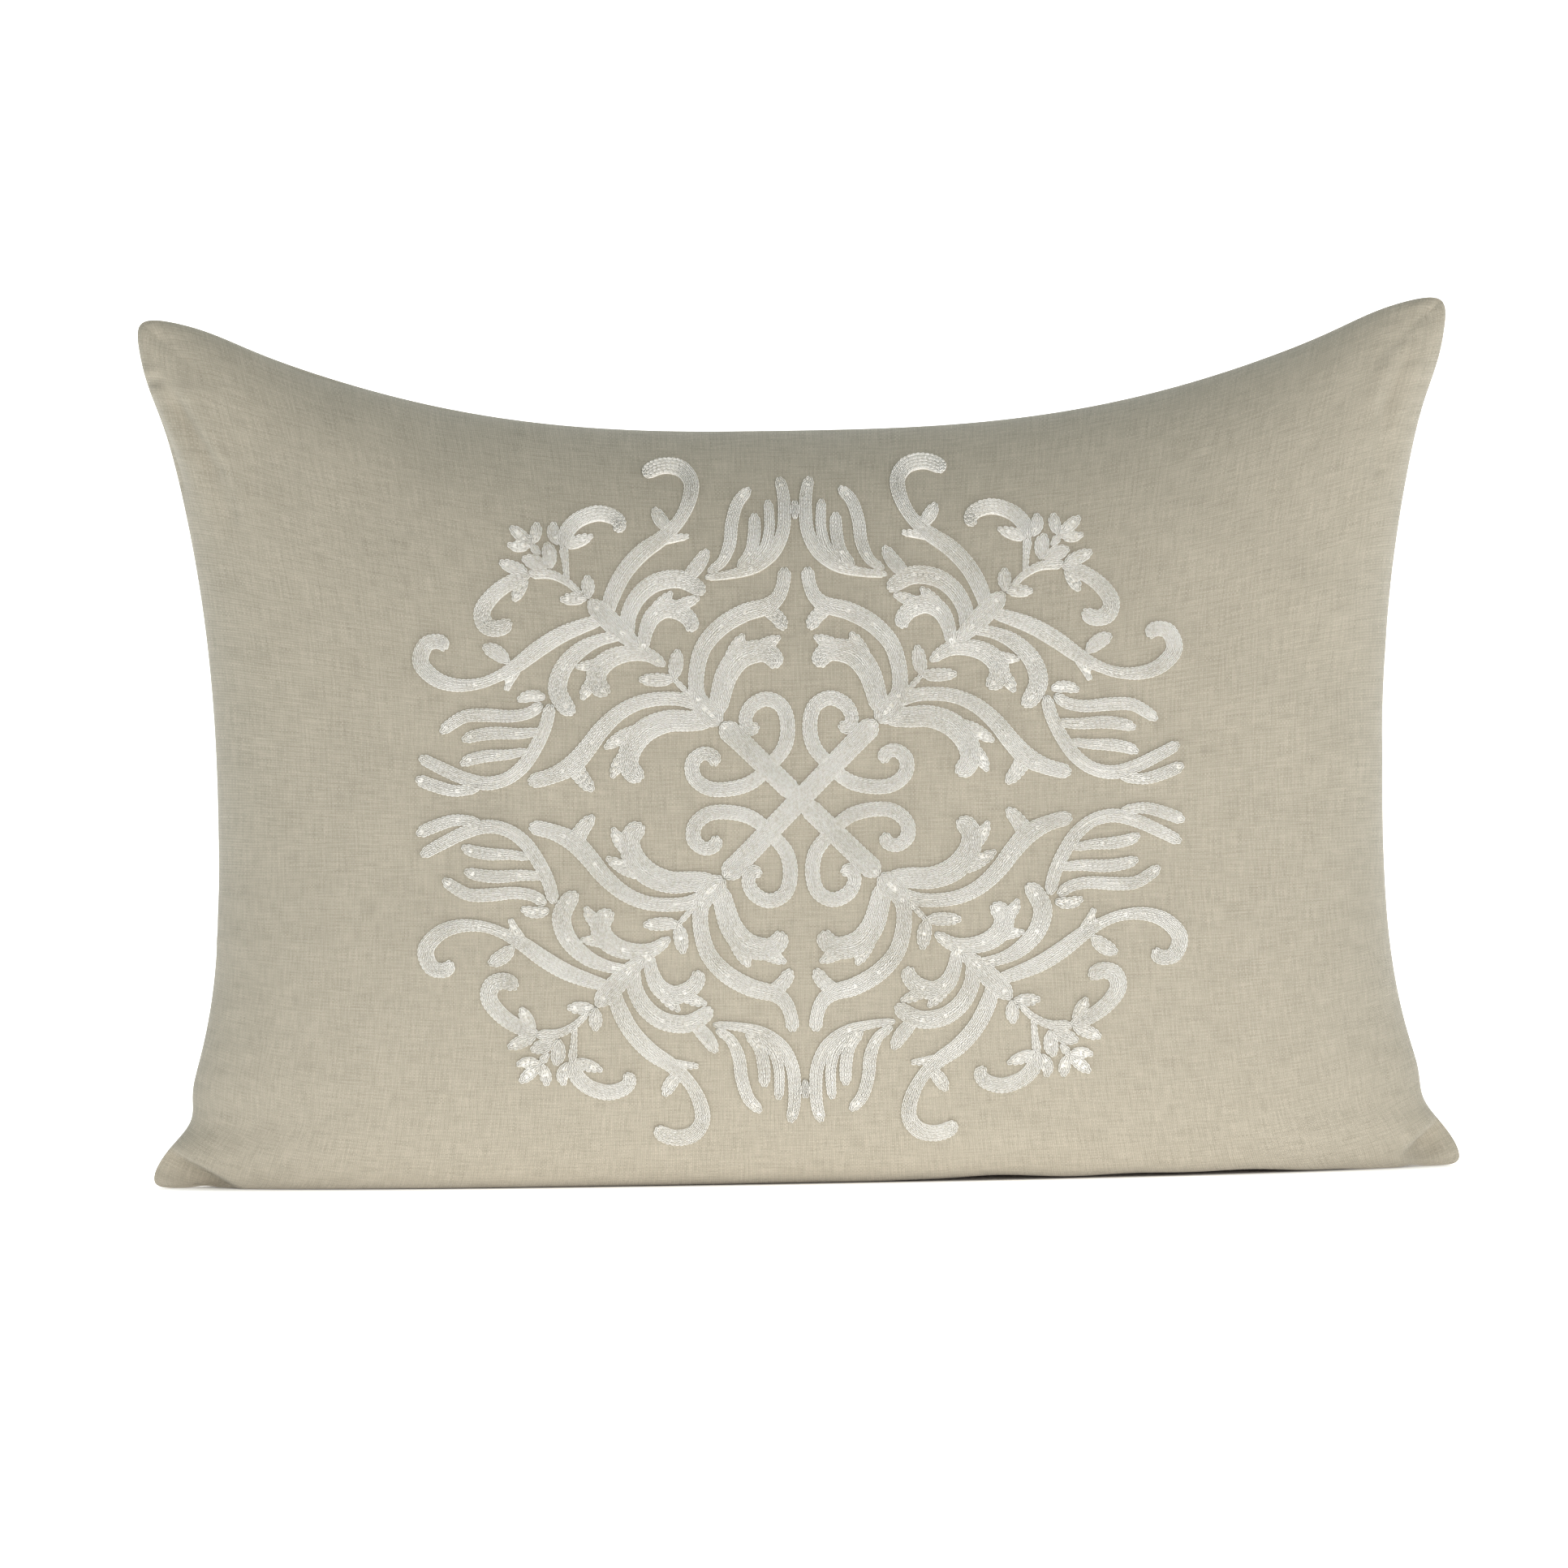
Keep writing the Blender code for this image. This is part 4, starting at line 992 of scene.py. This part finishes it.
def zip_tapes(bead, turn):
    """The two woven tapes, the coil on each, and the rows of stitching that hold them."""
    reach = SLIT_END + 0.0005
    for name, side in (("front", -1), ("back", 1)):
        t, y = np.meshgrid(np.linspace(-reach * TAPE_SHARE, reach * TAPE_SHARE, TAPE_COLUMNS),
            np.linspace(0, 1, TAPE_ROWS))
        y = TAPE_EDGE + TAPE_WIDE * y
        hollow = np.clip(1 - y / GROOVE_HALF, 0, None)
        height = GROOVE_DEPTH * hollow + 2 * (CLOTH + GAP) + 0.05 * MM * np.sin(t / MM * 1.1)
        points = np.stack([t, side * y, height], axis=-1)
        tape = mesh_object(f"woven_tape_{name}", points.reshape(-1, 3),
            grid_faces(TAPE_ROWS, TAPE_COLUMNS, side > 0), TAPE)
        solidify(tape, TAPE_WALL, 1.0)
        settle(tape, "zip_tape", f"zip_tape_{name}")
        low, high = corners_of(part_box(f"zip_coil_{name}"))
        middle = (low + high) / 2
        line = straight((low.x + COIL_END, middle.y, middle.z), (high.x - COIL_END, middle.y, middle.z))
        coil = sewn(
            f"nylon_coil_{name}", *row_on(line, (0, 0, -1),
             high.y - low.y), turn, COIL_PITCH, high.z - low.z, 31, NYLON
        )
        coil.data.shade_smooth()
        settle(coil, "zip_coil_nylon", f"zip_coil_{name}")
        y, z = TOPSTITCH_OUT, GROOVE_DEPTH * (1 - TOPSTITCH_OUT / GROOVE_HALF)
        lean = Vector((0, -side * GROOVE_DEPTH / GROOVE_HALF, -1)).normalized()
        spot = Vector((0, side * y, z)) + lean * 0.0001
        line = straight((-ZIP_HALF, spot.y, spot.z), (ZIP_HALF, spot.y, spot.z))
        row = sewn(f"topstitch_row_{name}", *row_on(line, tuple(lean), 0.0006), bead, 0.0030, 0.0005, 41,
            SEWING)
        settle(row, "sewing_thread", f"zip_topstitch_{name}")


def tacks_and_stops(bead):
    """Dense bars of thread past the zip's ends, and the metal stops on its coils."""
    for name in ("left", "right"):
        low, high = corners_of(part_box(f"bar_tack_{name}"))
        middle = (low + high) / 2
        line = straight((low.x, middle.y, high.z), (high.x, middle.y, high.z))
        tack = sewn(f"bar_tack_stitches_{name}", *row_on(line, (0, 0, -1), high.y - low.y), bead, 0.00042,
            0.0011, 51, SEWING)
        settle(tack, "sewing_thread", f"bar_tack_{name}")
    for end in ("bottom", "top"):
        low, high = corners_of(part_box(f"zip_{end}_stop"))
        stop = block(low, high, EDGE_ROUND, ZINC)
        stop.name = f"zinc_{end}_stop"
        settle(stop, "zip_slider_zinc", f"zip_{end}_stop")


def closing_seams(bead):
    """The overlocked strips past the zip's ends and along the top of the insert."""
    for name, node in (("left", "seam_allowance_bottom_left"), ("right", "seam_allowance_bottom_right")):
        low, high = corners_of(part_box(node))
        middle = (low + high) / 2
        line = straight((low.x, 0, middle.z), (high.x, 0, middle.z))
        strip = sewn(f"overlocked_strip_{name}", *row_on(line, (0, 1, 0), high.z - low.z), bead, 0.0009,
            0.0009, 61, SEWING)
        settle(strip, "sewing_thread", node)
    t = np.linspace(0.33, 0.67, 60)
    points, _ = seam_line("top", t)
    low, high = corners_of(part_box("insert_closing_seam"))
    points = points[(points[:, 0] > low.x) & (points[:, 0] < high.x)]
    points[:, 2] += (low.z + high.z) / 2 - (points[0, 2] + points[len(points) // 2, 2]) / 2
    strip = sewn("insert_closing_stitches", *row_on([tuple(p) for p in points], (0, 1, 0), 0.0045), bead,
        0.0012, 0.0005, 71, SEWING)
    settle(strip, "sewing_thread", "insert_closing_seam")


def slider():
    """The slider: two plates on a neck, and an arched bridge that the tab hangs from."""
    low, high = SLIDER_BOX
    x = (low.x + high.x) / 2
    long = (high.x - low.x) / 2
    outer_low = low.z + FOOT_RISE
    pieces = [
        block((x - long, -PLATE_HALF, high.z - PLATE_THICK), (x + long, PLATE_HALF, high.z), EDGE_ROUND,
         ZINC),
        block((x - long, -FOOT_HALF, outer_low), (x + long, FOOT_HALF, outer_low + PLATE_THICK), EDGE_ROUND,
         ZINC),
        block((x + long * 0.2, -0.0004, outer_low + 0.0005), (x + long * 0.8, 0.0004, high.z - 0.0005),
         0.0001, ZINC),
    ]
    reach, drop = BRIDGE_REACH, BRIDGE_DROP
    t = np.linspace(0, 1, 15)
    along = -np.cos(math.pi * t)
    arch = [(x + reach * a, 0.0,
        outer_low + 0.0004 - (drop - 0.0001) * (1 - abs(a) ** 4) ** 0.5) for a in along]
    bridge = turned_shape("bridge", arch, (0.0004, 0.0008, 0.0004), sides=10)
    bridge.data.materials.append(ZINC)
    made = joined(pieces + [bridge])
    made.name = "zinc_slider"
    smooth_metal(made)
    return settle(made, "zip_slider_zinc", "zip_slider", body="slider")


def smooth_metal(obj):
    obj.data.shade_smooth()
    obj.data.set_sharp_from_angle(angle=math.radians(40))


def pull_tab():
    """The tab: a rounded plate with an eye, turning on its own bar inside the bridge."""
    low, high = TAB_BOX
    hinge = Vector((high.x - 0.0005, 0.0, (low.z + high.z) / 2))
    curve = bpy.data.curves.new("tab", "CURVE")
    curve.dimensions = "2D"
    curve.fill_mode = "BOTH"
    curve.extrude = 0.00035
    curve.bevel_depth = 0.00015
    curve.bevel_resolution = 2
    outlines = (
        [(-0.0195, -0.0018), (-0.0185, -0.00235), (-0.012, -0.0019), (-0.005, -0.0023), (0.0002, -0.0022)],
        [(-0.0042, -0.0011), (-0.0036, -0.0013), (-0.0006, -0.0013)],
        [(-0.0172, -0.0009), (-0.0160, -0.0013), (-0.0115, -0.0009)],
    )
    for index, half in enumerate(outlines):
        loop = half + [(a, -b) for a, b in reversed(half)]
        if index:
            loop = loop[::-1]
        spline = curve.splines.new("POLY")
        spline.points.add(len(loop) - 1)
        for point, (a, b) in zip(spline.points, loop):
            point.co = (a, b, 0, 1)
        spline.use_cyclic_u = True
    plate = bpy.data.objects.new("tab", curve)
    bpy.context.scene.collection.objects.link(plate)
    plate.location = hinge
    bpy.context.view_layer.update()
    graph = bpy.context.evaluated_depsgraph_get()
    mesh = bpy.data.meshes.new_from_object(plate.evaluated_get(graph), depsgraph=graph)
    mesh.transform(Matrix.Translation(hinge))
    bpy.data.objects.remove(plate, do_unlink=True)
    mesh.materials.clear()
    mesh.materials.append(ZINC)
    made = bpy.data.objects.new("zinc_pull_tab", mesh)
    bpy.context.scene.collection.objects.link(made)
    bar = turned_shape("bar", [(hinge.x, y, hinge.z) for y in (-0.0025, -0.001, 0.001, 0.0025)],
        (0.0005,) * 3, sides=16)
    bar.data.materials.append(ZINC)
    made = joined([made, bar])
    smooth_metal(made)
    return settle(made, "zip_slider_zinc", "zip_pull_tab", body="tab")


def zip_and_stitching():
    bead, turn = bead_shape(), coil_shape()
    zip_tapes(bead, turn)
    tacks_and_stops(bead)
    closing_seams(bead)
    slider()
    pull_tab()
    for shape in (bead, turn):
        bpy.data.objects.remove(shape, do_unlink=True)

# ---------------------------------------------------------------- inside the cover


def inner_sheet(name, cad_node, slot, material, side, wall, across=(-1.0, 1.0), up=(-1.0, 1.0),
    cells=(132, 88), flat=None, **layer):
    """A thin sheet that follows the form under the cover, over some of its width and height."""
    lines = [np.sin(np.linspace(math.asin(a), math.asin(b), n + 1)) for (a, b),
        n in zip((across, up), cells)]
    u, v = np.meshgrid(*lines)
    points = dressed(u, v, side, **layer)
    made = mesh_object(name, points.reshape(-1, 3), grid_faces(cells[1] + 1, cells[0] + 1, side == BACK),
        material)
    set_uv(made.data, "cut", np.stack([u * 0.254 + (0.6 if side == BACK else 0.0), v * 0.178],
        axis=-1).reshape(-1, 2))
    solidify(made, wall)
    settle(made, slot, cad_node)
    return made


INSERT = dict(depth=INSERT_DEPTH, inset=INSERT_INSET, rim=0.0008, groove=0.006, groove_half=0.006)


def insert():
    for name, side in (("front", FRONT), ("back", BACK)):
        inner_sheet(
            f"ticking_{name}", f"insert_{name}_shell", "insert_ticking", TICKING, side, 0.0005, flat=(0.508,
             0.356), **INSERT
        )
    under = dict(INSERT, depth=INSERT_DEPTH + 0.0013, inset=INSERT_INSET + 0.006, rim=0.0, groove=0.0075,
        groove_half=0.0075)
    u, v = np.meshgrid(cell_lines(96), cell_lines(64))
    halves = []
    for side in (FRONT, BACK):
        points = dressed(u, v, side, **under)
        halves.append(mesh_object("filling", points.reshape(-1, 3), grid_faces(65, 97, side == BACK),
            FIBRE))
    filling = joined(halves)
    filling.name = "fibre_filling"
    weld = filling.modifiers.new("weld", "WELD")
    weld.merge_threshold = 0.00002
    apply_modifiers(filling)
    settle(filling, "fibre_filling", "insert_filling")
    inner_sheet("insert_blank_label", "insert_label", "label_satin", SATIN, BACK, 0.0003, (0.34, 0.5),
        (0.5, 0.64), (24, 16), flat=(0.040, 0.030), depth=0.0014, inset=0.0014)
    inner_sheet("cover_blank_label", "care_label", "label_satin", SATIN, BACK, 0.0003, (-0.94, -0.82),
        (-0.34, 0.0), (16, 24), flat=(0.030, 0.045), depth=0.0014, inset=0.0014)
    inner_sheet("stabiliser_sheet", "embroidery_backing", "stabiliser_backing", STABILISER, FRONT, 0.0003,
        (-0.77, 0.77), (-0.77, 0.87), (96, 72), flat=(0.35, 0.30), depth=0.0014, inset=0.0014)


def seam_line(side, t):
    """The seam's line in the middle plane, and the way in from it, for t from 0 to 1 along a side."""
    lines = {
        "top": (np.interp(t, (0, 1), (-1, 1)), np.ones_like(t)),
        "left": (-np.ones_like(t), np.interp(t, (0, 1), (-1, 1))),
        "right": (np.ones_like(t), np.interp(t, (0, 1), (-1, 1))),
    }
    u, v = lines[side]
    points = skin(u, v, FRONT, rim=0.0)
    ahead = np.gradient(points, axis=0)
    ahead /= np.linalg.norm(ahead, axis=1, keepdims=True)
    inward = np.stack([ahead[:, 2], np.zeros(len(t)), -ahead[:, 0]], axis=1)
    if side == "right":
        inward = -inward
    return points, inward


def allowance(name, cad_node, side, ends):
    """The overlocked seam allowance inside the seam of one side, as one strip with a wavy edge."""
    t = np.linspace(ends[0], ends[1], 240)
    points, inward = seam_line(side, t)
    if side == "top":
        inward = -inward if inward[120, 2] > 0 else inward
    rows = []
    for reach in (1.6, 4.0, 7.0, 10.0):
        wave = 0.35 * np.sin(t * 180 + reach) * (reach / 10)
        row = points + inward * reach * MM
        row[:, 1] += wave * MM
        rows.append(row)
    made = mesh_object(name, np.vstack(rows), grid_faces(4, len(t)), SEWING)
    solidify(made, 0.0012, 0.0)
    return settle(made, "sewing_thread", cad_node)


def seams():
    allowance("overlocked_seam_top", "seam_allowance_top", "top", (0.08, 0.92))
    allowance("overlocked_seam_left", "seam_allowance_left", "left", (0.16, 0.90))
    allowance("overlocked_seam_right", "seam_allowance_right", "right", (0.16, 0.90))


insert()
seams()
zip_and_stitching()

# ---------------------------------------------------------------- cover panels finished

for made, cad_node in ((front_panel, "cover_front_panel"), (back_panel, "cover_back_panel")):
    solidify(made, RIM)
    settle(made, "natural_linen", cad_node)

# ---------------------------------------------------------------- stage

camera()


# Painted light: the sweep itself glows and lights the pillow from below and behind.
SWEEP_GLOW = 0.85  # the sweep's own light, which keeps it white behind and under the pillow


def stage():
    white, tree, shader = new_material("white_studio_sweep", 0.9, "#FFFFFF")
    shader.inputs["Emission Color"].default_value = linear("#FFFDFA")
    # Painted light: the sweep's glow is cut off in an oval right under the pillow, so the floor there keeps
    # the real shade and the gap under the front's bottom roll shows dark.
    place = add(tree, "ShaderNodeTexCoord").outputs["Object"]
    round_pillow = add(tree, "ShaderNodeVectorMath", [(0, place), (1, (1 / 0.235, 1 / 0.045, 0.0))],
        operation="MULTIPLY")
    away = add(tree, "ShaderNodeVectorMath", [(0, round_pillow.outputs[0])],
        operation="LENGTH").outputs["Value"]
    ends = [("Value", away), ("From Min", 0.85), ("From Max", 1.2), ("To Min", 0.0), ("To Max", SWEEP_GLOW)]
    glow = add(tree, "ShaderNodeMapRange", ends, interpolation_type="SMOOTHSTEP").outputs[0]
    tree.links.new(glow, shader.inputs["Emission Strength"])
    profile = [(-4.0, 0.0), (1.6, 0.0)]
    profile += [(1.6 + 0.8 * math.sin(a), 0.8 - 0.8 * math.cos(a)) for a in np.linspace(0.1, math.pi / 2,
        12)]
    profile.append((2.4, 4.0))
    points = [(x, y, z - 0.0002) for y, z in profile for x in (-4.0, 4.0)]
    faces = [(2 * i, 2 * i + 1, 2 * i + 3, 2 * i + 2) for i in range(len(profile) - 1)]
    mesh_object("studio_sweep", points, faces, white)
    for name, place, aim, size, power, colour in (
        ("front_softbox", (0.8, -2.3, 0.42), (0, 0, 0.12), 1.1, 17.0, "#FFFBF8"),
        ("low_front_fill", (0.3, -2.6, 0.18), (0, 0, 0.02), 0.5, 11.0, "#FFE9DC"),
    ):
        data = bpy.data.lights.new(name, "AREA")
        data.shape = "SQUARE"
        data.size = size
        data.energy = power
        data.color = linear(colour)[:3]
        light = bpy.data.objects.new(name, data)
        light.location = place
        light.rotation_mode = "QUATERNION"
        light.rotation_quaternion = (Vector(aim) - Vector(place)).to_track_quat("-Z", "Y")
        bpy.context.scene.collection.objects.link(light)
    world = bpy.data.worlds.new("studio")
    world.use_nodes = True
    nodes = world.node_tree
    back = nodes.nodes["Background"]
    place = add(nodes, "ShaderNodeTexCoord").outputs["Generated"]
    up = add(nodes, "ShaderNodeSeparateXYZ", [(0, place)]).outputs[2]
    ramp = add(nodes, "ShaderNodeValToRGB", [(0, up)])
    ramp.color_ramp.elements[0].position = 0.0
    ramp.color_ramp.elements[0].color = (0.29, 0.28, 0.275, 1.0)
    ramp.color_ramp.elements[1].position = 0.7
    ramp.color_ramp.elements[1].color = (0.33, 0.385, 0.37, 1.0)
    nodes.links.new(ramp.outputs[0], back.inputs["Color"])
    back.inputs["Strength"].default_value = 1.0
    bpy.context.scene.world = world
    bpy.context.scene.view_settings.view_transform = "Standard"


stage()
